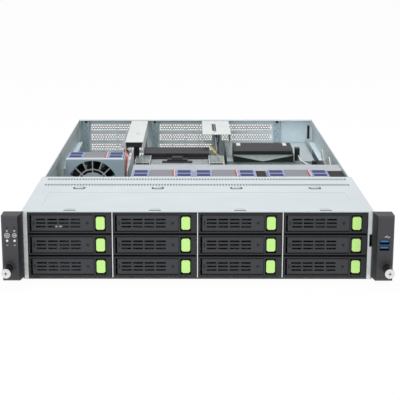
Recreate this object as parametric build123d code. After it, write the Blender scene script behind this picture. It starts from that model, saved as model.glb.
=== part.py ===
"""A two-unit rack server with twelve hot-swap drive carriers and four hot-swap fans.

The rear top cover is off, as on a bench, and the first fan module stands behind the row of the others.
Lengths are in millimetres. X runs to the right seen from the front, Y runs back from the front
plane of the chassis, and Z runs up from its underside. Every piece is modelled in that frame and
moved at the end, so that the origin lies under the middle of the chassis.
"""
import math
import os

from build123d import *

# Rack standard
rack_width = 482.6
rack_unit = 44.45
unit_count = 2
rack_margin = 1.4
ear_overhang = 21.7
drawn_inner_half = 215.4

# Sheets and clearances
pan_sheet = 1.2
cover_sheet = 1.2
bracket_sheet = 1.0
seat_gap = 0.3
pin_gap = 0.05
joggle_gap = 1.8

# Drive bays and their carriers
column_count = 4
row_names = ("bottom", "middle", "top")
divider_sheet = 1.2
cage_floor = 0.8
side_channel = 4.6
strip_reach = 0.8
ledge_width = 1.1
ledge_height = 0.8
bezel_side_gap = 0.95
row_gap = 2.4
bezel_depth = 18.0
bezel_rail = 1.8
lever_gap = 0.9
tray_sheet = 0.8
tray_rail_height = 20.0
drive_length = 147.0
cross_bar = 9.0
tray_slot_width = 22.0
tray_slot_pitch = 48.0
tray_end_gap = 3.0

# Lever, its pivot and its grille
pivot_inset = 6.6
pivot_radius = 1.2
pivot_depth = 3.8
pivot_sides = 12
lever_thickness = 6.0
lever_skin = 1.8
lever_rim = 1.5
lever_setback = 0.6
latch_width = 22.0
slot_length = 12.3
slot_height = 2.2
slot_pitch = 14.4
slot_rise = 4.6
slot_columns = 4
slot_rows = 3
grille_offset = -7.6

# Release button in its recess
button_width = 10.8
button_height = 16.2
button_corner = 1.8
button_proud = 0.6
button_travel = 2.5
recess_width = 13.4
recess_height = 21.2
recess_depth = 5.0
button_offset = 8.8
stem_width = 4.0
stem_height = 8.0
stem_length = 7.0

# Ears, thumbscrews, buttons and sockets
ear_reach = 24.0
ear_bottom = 4.5
ear_face_width = 20.3
ear_taper = 4.0
ear_chamfer = 2.0
ear_seat = 2.0
ear_tab = 28.0
groove_depth = 3.6
groove_front = 5.0
groove_back = 8.0
groove_margin = 13.0
thumb_height = 22.8
thumb_shift = 1.2
thumb_reach = 30.0
thumb_radius = 5.4
thumb_head_radius = 6.0
thumb_head_length = 8.0
thumb_flutes = 16
thumb_collar_radius = 6.8
thumb_collar_height = 4.6
thumb_face_radius = 4.3
thumb_face_rise = 0.6
cross_width = 0.9
thumb_shank_radius = 3.2
thumb_thread_radius = 2.9
thumb_thread_length = 10.0
power_height = 62.8
power_shift = 3.0
power_radius = 2.4
power_travel = 1.0
usb_width = 12.2
usb_height = 5.8
usb_depth = 14.0
usb_wall = 0.4
usb_pitch = 8.0
usb_top_height = 54.5
usb_shift = -1.5
notch_height = 16.0
notch_width = 3.0

# Front cover
cover_flange = 10.0
cover_margin = 9.0
panel_recess = 0.4
panel_front = 26.0
panel_depth = 81.0
panel_side = 22.0
emboss_radius = 6.0
emboss_rise = 0.5
emboss_sides = 16
emboss_y = 131.0
lock_slot_length = 12.0
lock_slot_width = 2.0
lock_slot_y = 12.7

# Drive backplane
backplane_gap = 4.0
backplane_sheet = 2.0
connector_width = 42.0
connector_height = 6.0
vent_width = 80.0
vent_height = 7.0
vent_drop = 3.7

# Fans
row_count = 3
plenum_depth = 42.0
fan_size = 80.0
fan_width = 88.0
fan_offset = -3.5
fan_depth = 56.0
fan_rim = 1.4
guard_sheet = 1.5
guard_sides = 24
ring_share = 0.65
hub_share = 0.525
motor_share = 0.45
rotor_hub_share = 0.48
guard_ring_width = 1.8
spoke_width = 1.6
spoke_count = 16
strut_count = 4
strut_depth = 5.0
strut_width = 3.0
ring_sides = 16
motor_sides = 12
blade_count = 7
blade_gap = 1.2
blade_thickness = 1.8
blade_chords = (22.0, 24.0, 26.0)
blade_pitches = (50.0, 41.0, 34.0)
rotor_hub_depth = 26.0
rotor_setback = 6.0
shaft_radius = 2.0
motor_depth = 14.0
lip_depth = 6.0
handle_sheet = 2.0
handle_length = 25.0
handle_slot_length = 19.0
handle_slot_width = 15.0
handle_corner = 4.0
row_space_shares = (0.729, 0.0192, 0.1067, 0.1451)
first_fan_space = 13.75
first_fan_gap = 84.0
aisle_back = 52.0
wall_sheet = 1.2
window_edge = 4.0
rail_gap = 2.0
rail_depth = 48.0
rail_flange = 9.0
filler_height = 24.0

# Main board, processor and memory
board_sheet = 1.6
standoff_height = 6.8
standoff_radius = 3.0
standoff_sides = 6
standoff_left = -190.0
standoff_middle = -60.0
standoff_right = 30.0
standoff_inset = 15.0
processor_zone = 272.0
board_front_gap = 30.0
board_side_gap = 4.0
board_step = 10.0
socket_size = 78.0
socket_height = 9.0
sink_width = 92.0
sink_length = 80.0
sink_height = 33.0
sink_base = 6.0
fin_sheet = 1.2
fin_count = 12
sink_x = -27.0
sink_y = 196.0
memory_length = 133.0
memory_height = 31.0
memory_sheet = 1.4
memory_pitch = 7.6
memory_bank = 3
memory_y = 250.0
memory_socket_width = 6.4
memory_socket_height = 8.0
memory_socket_over = 5.0
bank_gap = 4.0

# Air duct and its black beams
duct_sheet = 1.2
duct_gap = 0.6
duct_height = 43.0
lid_front = 130.0
bank_lid_height = 50.0
bank_lid_length = 60.0
beam_overhang = 13.0
beam_depth = 42.0
beam_height = 12.0
beam_wall = 2.0
beam_round = 3.0
beam_gap = 4.0
right_beam_x = 115.0
right_beam_width = 101.0
right_beam_depth = 62.0
right_beam_height = 9.0
plinth_height = 13.6
right_beam_y = 262.0
plinth_step = 4.0
baffle_drop = 12.4
baffle_end_drop = 2.5
baffle_sheet = 1.0
guide_x = 175.0
guide_bend = 24.0
guide_bend_length = 40.0
guide_length = 112.0
guide_height = 44.0

# Power supplies and their cage
psu_count = 2
psu_width = 73.5
psu_height = 40.0
psu_length = 185.0
psu_gap = 0.6
psu_handle_reach = 24.0
psu_handle_bar = 6.0
psu_side_space = 11.5
inlet_left = 8.0
inlet_width = 26.0
inlet_height = 20.0
inlet_depth = 12.0
psu_vent_left = 40.0
psu_vent_depth = 3.5
psu_vent_height = 3.0
psu_vent_pitch = 6.0
psu_vents = 5
psu_edge = 4.0
psu_handle_sheet = 3.0
psu_latch_width = 3.0
psu_latch_reach = 10.0

# Rear wall, slot covers and risers
rear_sheet = 1.2
rail_lip = 10.0
cover_row_height = 17.4
cover_row_pitch = 18.4
cover_row_top = 80.0
cover_width = 104.0
right_cover_width = 100.0
left_cover_x = -146.0
middle_cover_x = -18.0
right_cover_x = 96.0
cover_edge = 2.0
full_group_count = 3
short_group_count = 2
post_width = 11.0
post_depth = 8.0
window_count = 4
window_rib = 1.4
window_frame = 1.4
port_height = 12.5
port_depth = 20.0
port_mouth = 3.5
port_wall = 1.0
port_space = 9.0
port_widths = (16.0, 16.0, 13.2, 13.2, 31.0, 16.0)
riser_width = 30.0
riser_length = 220.0
riser_drop = 22.0
riser_x = -103.0
second_riser_x = 36.5
second_riser_width = 49.0
second_riser_length = 144.0
riser_slot = 7.0
riser_slot_edge = 1.0
riser_slot_length = 5.0
riser_slot_gap = 140.0
riser_notch_length = 76.0
riser_notch_gap = 71.0
riser_rear_gap = 17.0
riser_card_sheet = 1.6
riser_card_inset = 14.0
riser_card_length = 98.0
riser_card_x = -90.0
socket_inset = 10.0
second_card_x = 40.0
riser_ledge = 10.0
riser_ledge_length = 168.0
riser_ledge_drop = 18.0

# Worked out from the sizes above
chassis_height = rack_unit * unit_count - rack_margin
chassis_width = rack_width - 2 * ear_overhang
half_width = chassis_width / 2
cage_width = chassis_width - 2 * (side_channel + pan_sheet)
bay_pitch = (cage_width - divider_sheet) / column_count
wall_top = chassis_height - cover_sheet
joggle = cover_sheet + joggle_gap
upper_half = half_width - joggle
inner_half = upper_half - pan_sheet
across = inner_half / drawn_inner_half
strip_inner = cage_width / 2 - divider_sheet
strip_outer = upper_half + strip_reach
row_floor = pan_sheet + cage_floor
row_pitch = (wall_top - row_floor) / len(row_names)
bezel_width = bay_pitch - divider_sheet - 2 * bezel_side_gap
bezel_height = row_pitch - row_gap
tray_width = bay_pitch - divider_sheet - 2 * (ledge_width - tray_sheet)
tray_end = bezel_depth + drive_length + tray_end_gap
backplane_y = tray_end + backplane_gap
cage_depth = backplane_y + backplane_sheet
fan_y = cage_depth + plenum_depth
cover_depth = fan_y - cover_margin
fan_back = fan_y + fan_depth
psu_y = fan_back + processor_zone
chassis_depth = psu_y + psu_length + rear_sheet
module_width = fan_width * across
fan_floor = pan_sheet + wall_sheet
fan_seat = fan_floor + seat_gap
fan_axis = fan_seat + fan_size / 2
bore_radius = min(module_width + 2 * fan_offset, fan_size) / 2 - fan_rim
bore_flat = bore_radius * math.cos(math.pi / guard_sides)
blade_spread = (blade_chords[-1] * math.cos(math.radians(blade_pitches[-1])) + blade_thickness) / 2
blade_tip = math.sqrt((bore_flat - blade_gap) ** 2 - blade_spread ** 2)
row_spare = 2 * inner_half - row_count * module_width
row_centres = [
    -inner_half + row_spare * sum(row_space_shares[:i + 1]) + module_width * (i + 0.5)
    for i in range(row_count)
]
first_fan_x = -inner_half + first_fan_space * across + module_width / 2
first_fan_y = fan_back + first_fan_gap
row_left = row_centres[0] - module_width / 2 - seat_gap - wall_sheet
aisle_x = row_left - 8 * across
aisle_end = first_fan_y + fan_depth + aisle_back
module_places = [(first_fan_x, first_fan_y)] + [(x, fan_y) for x in row_centres]
bank_start = (sink_width / 2 + bank_gap) * across
bank_width = ((memory_bank - 1) * memory_pitch + memory_socket_width) * across
board_floor = pan_sheet + standoff_height
board_top = board_floor + board_sheet
board_y = fan_back + board_front_gap
supply_width = psu_width * across
psu_right = inner_half - psu_side_space * across
psu_left = psu_right - psu_count * (supply_width + psu_gap) - psu_gap
psu_floor = pan_sheet + psu_gap
cage_top = psu_floor + psu_height + psu_gap
rear_front = chassis_depth - rear_sheet
column_centres = [(i - (column_count - 1) / 2) * bay_pitch for i in range(column_count)]
row_bottoms = [row_floor + i * row_pitch for i in range(len(row_names))]
ear_outer = rack_width / 2
ear_inner = ear_outer - ear_face_width
ear_middle = (ear_outer + ear_inner) / 2
thumb_x = ear_middle + thumb_shift
pivot_x = -bezel_width / 2 + pivot_inset
latch_left = bezel_width / 2 - latch_width
grille_pitch = slot_pitch * across
button_x = latch_left + button_offset
lever_end = lever_thickness - pivot_depth
grille_centre = (pivot_x + pivot_depth + latch_left - lever_rim) / 2 + grille_offset * across
power_x = ear_middle + power_shift
sink_left = (sink_x - sink_width / 2) * across
sink_right = (sink_x + sink_width / 2) * across
board_left = aisle_x + wall_sheet + seat_gap

risers = (
    (riser_x * across, riser_width * across, riser_length, riser_card_x * across, riser_ledge * across),
    (second_riser_x * across, second_riser_width * across, second_riser_length, second_card_x * across, 0),
)
standoff_places = [
    (x * across, y)
    for x in (standoff_left, standoff_middle, standoff_right)
    for y in (aisle_end + standoff_inset, chassis_depth - 2 * standoff_inset)
] + [(x * across, board_y + standoff_inset) for x in (standoff_middle, standoff_right)]
slot_groups = (
    (left_cover_x * across, cover_width * across, full_group_count),
    (middle_cover_x * across, cover_width * across, full_group_count),
    (right_cover_x * across, right_cover_width * across, short_group_count),
)


def block(x0, x1, y0, y1, z0, z1):
    """A cuboid between two corners."""
    return Pos((x0 + x1) / 2, (y0 + y1) / 2, (z0 + z1) / 2) * Box(x1 - x0, y1 - y0, z1 - z0)


def along_x(points, x0, x1):
    """An outline of (y, z) points, extruded from x0 to x1."""
    face = make_face(Polyline(*[(x0, y, z) for y, z in points], close=True))
    return extrude(face, amount=x1 - x0, dir=(1, 0, 0))


def along_y(points, y0, y1):
    """An outline of (x, z) points, extruded from y0 to y1."""
    face = make_face(Polyline(*[(x, y0, z) for x, z in points], close=True))
    return extrude(face, amount=y1 - y0, dir=(0, 1, 0))


def along_z(points, z0, z1):
    """An outline of (x, y) points, extruded from z0 to z1."""
    face = make_face(Polyline(*[(x, y, z0) for x, y in points], close=True))
    return extrude(face, amount=z1 - z0, dir=(0, 0, 1))


def from_front(sketch, y0, depth):
    """A sketch drawn as seen from the front, extruded back from y0."""
    return extrude(Plane.XZ.offset(-y0) * sketch, amount=-depth)


def rod_y(radius, x, z, y0, y1):
    """A round bar along Y."""
    return from_front(Pos(x, z) * Circle(radius), y0, y1 - y0)


def mirrored(points):
    """An open outline of its right half, closed by its mirror image."""
    return points + [(-x, z) for x, z in reversed(points)]


def folded_channel(half, top, flange, sheet):
    """The outline of a sheet folded down at both sides, open below."""
    inner = half - sheet
    return mirrored([(half, top), (half, top - flange), (inner, top - flange), (inner, top - sheet)])


def save(name, *pieces):
    """Writes the solids of one node, moved so that the origin lies under the chassis middle."""
    solids = [solid for piece in pieces for solid in piece.solids()]
    shape = solids[0] if len(solids) == 1 else Compound(solids)
    export_step(Pos(0, -chassis_depth / 2, 0) * shape, f"parts/{name}.step")


# Chassis pan: floor and side walls folded from one sheet, with the joggle that the covers lie in

def chassis_pan():
    bend = wall_top - cover_flange - joggle
    outer = [(half_width, 0), (half_width, bend), (upper_half, bend + joggle), (upper_half, wall_top)]
    inner = [
        (upper_half - pan_sheet, wall_top),
        (upper_half - pan_sheet, bend + joggle),
        (half_width - pan_sheet, bend),
        (half_width - pan_sheet, pan_sheet),
    ]
    pan = along_y(mirrored(outer + inner), 0, chassis_depth)
    for side in (-1, 1):
        pan += block(min(side * strip_inner, side * strip_outer), max(side * strip_inner, side * strip_outer),
                     -pan_sheet, 0, 0, wall_top)
    notch_z = usb_top_height - usb_pitch / 2
    pan -= block(strip_outer - notch_width, strip_outer + 1, -2 * pan_sheet, pan_sheet / 2,
                 notch_z - notch_height / 2, notch_z + notch_height / 2)
    return pan


def standoffs():
    """The six-sided posts, pressed into the pan's floor, that carry the main board."""
    post = extrude(RegularPolygon(standoff_radius, standoff_sides), amount=standoff_height)
    return [Pos(x, y, pan_sheet) * post for x, y in standoff_places]


# Front cover: folded lid over the drives, with its recessed panel, round marks and lock slots

def front_cover():
    lid = along_y(folded_channel(half_width, chassis_height, cover_flange, cover_sheet), 0, cover_depth)
    lid -= block(-half_width + panel_side, half_width - panel_side, panel_front, panel_front + panel_depth,
                 chassis_height - panel_recess, chassis_height + 1)
    lower_half = Pos(0, -emboss_radius) * Rectangle(2 * emboss_radius, 2 * emboss_radius)
    mark = RegularPolygon(emboss_radius, emboss_sides) - lower_half
    for x in column_centres:
        lid += Pos(x, emboss_y, chassis_height) * extrude(mark, amount=emboss_rise)
        lid -= block(x - lock_slot_length / 2, x + lock_slot_length / 2, lock_slot_y - lock_slot_width / 2,
                     lock_slot_y + lock_slot_width / 2, wall_top - 1, chassis_height + 1)
    return lid


# Drive cage: floor sheet and upright dividers, each with the ledges that the trays run on

def drive_cage():
    floor = block(-cage_width / 2, cage_width / 2, seat_gap, cage_depth, pan_sheet, row_floor)
    pieces = [floor]
    for i in range(column_count + 1):
        x = (i - column_count / 2) * bay_pitch
        divider = block(x - divider_sheet / 2, x + divider_sheet / 2, seat_gap, cage_depth, row_floor,
                        wall_top - seat_gap)
        for side in (-1, 1):
            if 0 <= i + (side - 1) / 2 < column_count:
                near = x + side * divider_sheet / 2
                far = near + side * ledge_width
                for z in row_bottoms:
                    divider += block(min(near, far), max(near, far), bezel_depth + 2, tray_end, z,
                                     z + ledge_height)
        pieces.append(divider)
    return pieces


# Backplane and main board

def backplane():
    bottom = row_floor + seat_gap
    half_connector = connector_width * across / 2
    half_vent = vent_width * across / 2
    boards = []
    for i in range(column_count):
        left = column_centres[i] - bay_pitch / 2 + divider_sheet / 2 + seat_gap
        right = column_centres[i] + bay_pitch / 2 - divider_sheet / 2 - seat_gap
        board = block(left, right, backplane_y, backplane_y + backplane_sheet, bottom,
                      wall_top - 2 * seat_gap)
        for z in row_bottoms:
            socket_z = z + ledge_height + seat_gap + tray_sheet + 1
            board += block(column_centres[i] - half_connector, column_centres[i] + half_connector,
                           backplane_y - backplane_gap + 1, backplane_y,
                           socket_z, socket_z + connector_height)
            vent_z = z + row_pitch - vent_height - vent_drop
            board -= block(column_centres[i] - half_vent, column_centres[i] + half_vent,
                           backplane_y - 1, backplane_y + backplane_sheet + 1, vent_z, vent_z + vent_height)
        boards.append(board)
    return boards


def main_board():
    far = inner_half - board_side_gap
    right = psu_left - bracket_sheet - board_side_gap
    back = rear_front - seat_gap
    step_y, cage_y = aisle_end + board_step, psu_y - board_side_gap
    outline = [
        (board_left, board_y), (far, board_y), (far, cage_y), (right, cage_y),
        (right, back), (-far, back), (-far, step_y), (board_left, step_y),
    ]
    board = along_z(outline, board_floor, board_top)
    x = sink_x * across
    half_socket = socket_size * across / 2
    socket = block(x - half_socket, x + half_socket, fan_back + sink_y - socket_size / 2,
                   fan_back + sink_y + socket_size / 2, board_top, board_top + socket_height)
    return [board, socket]


def rear_ports():
    """Network, serial and video sockets along the rear edge of the main board."""
    ports = []
    x = (left_cover_x - cover_width / 2 + port_space / 2) * across
    for width in port_widths:
        end = x + width * across
        shell = block(x, end, rear_front - port_depth, chassis_depth, board_top, board_top + port_height)
        shell -= block(x + port_wall, end - port_wall, chassis_depth - port_mouth, chassis_depth + 1,
                       board_top + port_wall, board_top + port_height - port_wall)
        ports.append(shell)
        x = end + port_space * across
    return ports


def riser_cards():
    """The two upright cards that hang from the riser brackets, in their sockets."""
    cards = []
    top = wall_top - bracket_sheet - seat_gap
    back = rear_front - riser_rear_gap - riser_card_inset
    front = back - riser_card_length
    foot = board_top + memory_socket_height
    half_card, half_socket = riser_card_sheet / 2, memory_socket_width * across / 2
    for _, _, _, x, _ in risers:
        cards.append(block(x - half_card, x + half_card, front, back, foot, top))
        cards.append(block(x - half_socket, x + half_socket, front + socket_inset, back - 2 * socket_inset,
                           board_top, foot))
    return cards


# Heat sink with its fins, and the memory modules in their sockets

def heat_sink():
    y = fan_back + sink_y
    bottom = board_top + socket_height
    pitch = (sink_right - sink_left - fin_sheet) / (fin_count - 1)
    outline = [(sink_right, 0), (sink_right, sink_height)]
    for i in range(fin_count - 1):
        fin_left = sink_right - fin_sheet - i * pitch
        outline += [(fin_left, sink_height), (fin_left, sink_base), (fin_left - pitch + fin_sheet, sink_base),
                    (fin_left - pitch + fin_sheet, sink_height)]
    outline += [(sink_left, sink_height), (sink_left, 0)]
    placed = [(x, bottom + z) for x, z in outline]
    return along_y(placed, y - sink_length / 2, y + sink_length / 2)


def memory():
    y = fan_back + memory_y
    half_length = memory_length / 2 + memory_socket_over
    half_socket = memory_socket_width * across / 2
    socket_top = board_top + memory_socket_height
    modules = []
    for side in (-1, 1):
        for i in range(memory_bank):
            x = sink_x * across + side * (bank_start + half_socket + i * memory_pitch * across)
            modules.append(block(x - half_socket, x + half_socket, y - half_length, y + half_length,
                                 board_top, socket_top))
            modules.append(block(x - memory_sheet / 2, x + memory_sheet / 2, y - memory_length / 2,
                                 y + memory_length / 2, socket_top, socket_top + memory_height))
    return modules


# Hot-swap carrier: moulded bezel frame with a pivot pin, and the steel tray behind it

def carrier_bezel():
    half = bezel_width / 2
    frame = block(-half, half, 0, bezel_depth, 0, bezel_height)
    window_left = pivot_x - math.hypot(lever_end, pivot_depth) - seat_gap
    frame -= block(window_left, latch_left, -1, bezel_depth + 1, bezel_rail, bezel_height - bezel_rail)
    middle = bezel_height / 2
    frame -= block(button_x - recess_width / 2, button_x + recess_width / 2, -1, recess_depth,
                   middle - recess_height / 2, middle + recess_height / 2)
    half_stem, half_rise = stem_width / 2 + seat_gap, stem_height / 2 + seat_gap
    frame -= block(button_x - half_stem, button_x + half_stem, 0, bezel_depth + 1,
                   middle - half_rise, middle + half_rise)
    pin = extrude(RegularPolygon(pivot_radius, pivot_sides), amount=bezel_height - bezel_rail)
    return frame + Pos(pivot_x, lever_setback + pivot_depth, bezel_rail / 2) * pin


def carrier_tray():
    """The tray as a floor sheet with two long slots and the two side rails that stand on its edges."""
    half = tray_width / 2
    bottom = ledge_height + seat_gap - row_gap / 2
    inner = half - tray_sheet
    floor = block(-inner, inner, bezel_depth, tray_end, bottom, bottom + tray_sheet)
    for x in (-tray_slot_pitch / 2 * across, tray_slot_pitch / 2 * across):
        floor -= block(x - tray_slot_width / 2, x + tray_slot_width / 2, bezel_depth + cross_bar,
                       tray_end - cross_bar, bottom - 1, bottom + tray_sheet + 1)
    rails = [
        block(left, left + tray_sheet, bezel_depth, tray_end, bottom, bottom + tray_rail_height)
        for left in (-half, inner)
    ]
    return [floor] + rails


def lever():
    left = pivot_x - lever_end
    right = latch_left - seat_gap
    bottom = bezel_rail + lever_gap
    top = bezel_height - bezel_rail - lever_gap
    front = lever_setback
    back = front + lever_thickness
    body = block(left, right, front, back, bottom, top)
    body -= block(pivot_x + pivot_depth, right - lever_rim, front + lever_skin, back + 1, bottom + lever_rim,
                  top - lever_rim)
    middle = (bottom + top) / 2
    half_slot = slot_length * across / 2
    for place in GridLocations(grille_pitch, slot_rise, slot_columns, slot_rows):
        x = grille_centre + place.position.X
        z = middle + place.position.Y
        body -= block(x - half_slot, x + half_slot, front - 1, back, z - slot_height / 2, z + slot_height / 2)
    bore_radius = (pivot_radius + pin_gap) / math.cos(math.pi / pivot_sides)
    bore = extrude(RegularPolygon(bore_radius, pivot_sides), amount=top - bottom + 2)
    body -= Pos(pivot_x, front + pivot_depth, bottom - 1) * bore
    hinge_edge = body.edges().filter_by(Axis.Z).sort_by(lambda e: e.center().X - e.center().Y)[0]
    return fillet(hinge_edge, lever_end)


def release_button():
    middle = bezel_height / 2
    depth = recess_depth - button_travel - seat_gap + button_proud
    cap = extrude(Rectangle(button_width, button_height), amount=depth)
    cap = chamfer(cap.edges().filter_by(Axis.Z), button_corner)
    cap = Pos(button_x, -button_proud + depth, middle) * Rot(90, 0, 0) * cap
    back = -button_proud + depth
    stem = block(button_x - stem_width / 2, button_x + stem_width / 2, back, back + stem_length,
                 middle - stem_height / 2, middle + stem_height / 2)
    return cap + stem


# Ears: moulded blocks on steel angles that bolt to the rack posts

def ear(side):
    """One ear: side is -1 on the left and 1 on the right."""
    plan = [
        (side * strip_outer, 0),
        (side * strip_outer, -pan_sheet - ear_taper),
        (side * (ear_inner - ear_chamfer / 2), -ear_reach + ear_chamfer),
        (side * ear_inner, -ear_reach),
        (side * (ear_outer - ear_chamfer), -ear_reach),
        (side * ear_outer, -ear_reach + ear_chamfer),
        (side * ear_outer, 0),
    ]
    body = along_z(plan, ear_bottom, chassis_height)
    low_edges = body.edges().filter_by(Axis.X).filter_by(lambda e: e.center().Y < -ear_reach + ear_chamfer)
    body = chamfer(low_edges, ear_chamfer)
    collar = Pos(side * thumb_x, thumb_height) * RegularPolygon(thumb_collar_radius, thumb_flutes)
    body += from_front(collar, -ear_reach - thumb_collar_height, thumb_collar_height + 1)
    bore_radius = (thumb_shank_radius + pin_gap) / math.cos(math.pi / thumb_flutes)
    bore = Pos(side * thumb_x, thumb_height) * RegularPolygon(bore_radius, thumb_flutes)
    body -= from_front(bore, -ear_reach - thumb_collar_height - 1, ear_reach + thumb_collar_height + 2)
    near, far = sorted((side * half_width, side * ear_outer))
    angle = block(near, far, 0, ear_seat, ear_bottom, chassis_height - ear_bottom)
    tab_outer = half_width + ear_seat
    near, far = sorted((side * half_width, side * tab_outer))
    angle += block(near, far, 0, ear_tab, ear_bottom, chassis_height - cover_flange - joggle - ear_bottom)
    hole = thumb_shank_radius + seat_gap
    angle -= block(side * thumb_x - hole, side * thumb_x + hole, -1, ear_seat + 1, thumb_height - hole,
                   thumb_height + hole)
    return body, angle


def left_ear():
    body, angle = ear(-1)
    well = Pos(-power_x, power_height) * RegularPolygon(power_radius + 2 * seat_gap, thumb_flutes)
    body -= from_front(well, -ear_reach - 1, 1 + 2 * power_radius + power_travel)
    return [body, angle]


def power_button():
    button = Pos(-power_x, power_height) * RegularPolygon(power_radius, thumb_flutes)
    return from_front(button, -ear_reach - power_travel / 2, 2 * power_radius + power_travel / 2 - seat_gap)


def right_ear():
    body, angle = ear(1)
    groove_x = ear_inner - ear_chamfer
    body -= block(groove_x - groove_depth, groove_x - seat_gap, -ear_reach + groove_front,
                  -ear_reach + groove_back, ear_bottom + groove_margin, chassis_height - groove_margin)
    sockets = []
    x0, x1 = ear_middle + usb_shift - usb_width / 2, ear_middle + usb_shift + usb_width / 2
    end = -ear_reach + usb_depth
    for i in range(2):
        z = usb_top_height - i * usb_pitch
        z0, z1 = z - usb_height / 2, z + usb_height / 2
        body -= block(x0, x1, -ear_reach - 1, end, z0, z1)
        shell = block(x0, x1, -ear_reach - usb_wall, end, z0, z1)
        shell -= block(x0 + usb_wall, x1 - usb_wall, -ear_reach - 1, end - usb_wall,
                       z0 + usb_wall, z1 - usb_wall)
        tongue = block(x0 + 1, x1 - 1, -ear_reach + usb_wall, end - usb_wall, z, z1 - 2 * usb_wall)
        sockets += [shell, tongue]
    return [body, angle] + sockets


def thumbscrew(side):
    """A captive screw: fluted head with a bright cross-recessed face, plain sleeve and shank."""
    x = side * thumb_x
    front = -ear_reach - thumb_reach
    head_back = front + thumb_head_length
    sleeve_end = -ear_reach - thumb_collar_height - seat_gap
    flutes = Pos(x, thumb_height) * RegularPolygon(thumb_head_radius, thumb_flutes)
    screw = from_front(flutes, front, thumb_head_length)
    sleeve = Pos(x, thumb_height) * RegularPolygon(thumb_radius, thumb_flutes)
    screw += from_front(sleeve, head_back, sleeve_end - head_back)
    face = Pos(x, thumb_height) * RegularPolygon(thumb_face_radius, thumb_flutes)
    screw += from_front(face, front - thumb_face_rise, thumb_face_rise)
    for width, height in ((thumb_face_radius, cross_width), (cross_width, thumb_face_radius)):
        cross = Pos(x, thumb_height) * Rectangle(width, height)
        screw -= from_front(cross, front - thumb_face_rise - 1, 1 + 2 * thumb_face_rise)
    shank = Pos(x, thumb_height) * RegularPolygon(thumb_shank_radius, thumb_flutes)
    screw += from_front(shank, sleeve_end, ear_seat - sleeve_end)
    screw += rod_y(thumb_thread_radius, x, thumb_height, ear_seat, ear_seat + thumb_thread_length)
    return screw


# Fan wall: floor sheet, windowed sheet, partitions, rear rail and the filler blocks between the fans

def fan_wall():
    """The row's floor, windowed sheet, rail, partitions and fillers, and the first fan's seat."""
    inner = inner_half - seat_gap
    front = fan_y - 2 * wall_sheet - seat_gap
    top = fan_seat + fan_size - seat_gap
    rail_front = fan_back + rail_gap
    rail_back = fan_back + rail_depth
    floor = block(row_left, inner, front, rail_front, pan_sheet, fan_floor)
    wall = block(row_left, inner, front, front + wall_sheet, fan_floor, top)
    half_side = module_width / 2 - window_edge
    half_rise = fan_size / 2 - window_edge
    partitions = []
    for x, y in module_places:
        start = front + wall_sheet if y == fan_y else y
        if y == fan_y:
            wall -= block(x - half_side, x + half_side, front - 1, front + wall_sheet + 1,
                          fan_axis - half_rise, fan_axis + half_rise)
        for side in (-1, 1):
            near = x + side * (module_width / 2 + seat_gap)
            far = near + side * wall_sheet
            partitions.append(block(min(near, far), max(near, far), start, y + fan_depth + rail_gap,
                                    fan_floor, top))
    edge = module_width / 2 + seat_gap + wall_sheet
    seat = block(first_fan_x - edge, first_fan_x + edge, first_fan_y, first_fan_y + fan_depth + rail_gap,
                 pan_sheet, fan_floor)
    aisle_wall = block(aisle_x, aisle_x + wall_sheet, rail_front + seat_gap, aisle_end, pan_sheet, top)
    rail = along_x([
        (rail_front, top - rail_flange), (rail_front, top), (rail_back, top), (rail_back, top - rail_flange),
        (rail_back - wall_sheet, top - rail_flange), (rail_back - wall_sheet, top - wall_sheet),
        (rail_front + wall_sheet, top - wall_sheet), (rail_front + wall_sheet, top - rail_flange),
    ], row_left, inner)
    gaps = ((row_centres[1] + edge + seat_gap, row_centres[2] - edge - seat_gap),
            (row_centres[2] + edge + seat_gap, inner))
    fillers = [block(left, right, fan_y, rail_front, top - filler_height, top) for left, right in gaps]
    return [floor, wall, rail] + partitions + [seat, aisle_wall] + fillers


# Fan module: frame with a ringed guard, motor mount at the back, and the two finger loops on top

def fan_guard():
    """The guard as a flat sketch: the face with its round opening, spokes, one ring and a closed hub."""
    hub_radius, ring_radius = hub_share * bore_radius, ring_share * bore_radius
    guard = Pos(-fan_offset, 0) * Rectangle(module_width, fan_size) - RegularPolygon(bore_radius, guard_sides)
    guard += RegularPolygon(ring_radius + guard_ring_width / 2, ring_sides)
    guard -= RegularPolygon(ring_radius - guard_ring_width / 2, ring_sides)
    guard += RegularPolygon(hub_radius, ring_sides)
    for i in range(spoke_count):
        start = hub_radius - 1 if i % 2 == 0 else ring_radius
        length = bore_radius + 0.5 - start
        spoke = Pos(start + length / 2, 0) * Rectangle(length, spoke_width)
        guard += Rot(0, 0, i * 360 / spoke_count) * spoke
    return guard


def fan_frame():
    """The frame at the origin: axis on Y at x = 0, z = 0, front face at y = 0."""
    left = -module_width / 2 - fan_offset
    middle = fan_size / 2
    motor_radius = motor_share * bore_radius
    frame = block(left, left + module_width, guard_sheet, fan_depth, -middle, middle)
    frame -= from_front(RegularPolygon(bore_radius, guard_sides), guard_sheet - 1, fan_depth + 2)
    frame += from_front(fan_guard(), 0, guard_sheet)
    mount = from_front(RegularPolygon(motor_radius, motor_sides), fan_depth - motor_depth, motor_depth)
    for i in range(strut_count):
        strut = block(motor_radius - 1, bore_radius, fan_depth - strut_depth, fan_depth, -strut_width / 2,
                      strut_width / 2)
        mount += Rot(0, (i + 0.5) * 360 / strut_count, 0) * strut
    bore = RegularPolygon((shaft_radius + pin_gap) / math.cos(math.pi / motor_sides), motor_sides)
    mount -= from_front(bore, fan_depth - motor_depth - 1, motor_depth + 1 - bracket_sheet)
    return frame + mount


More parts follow.
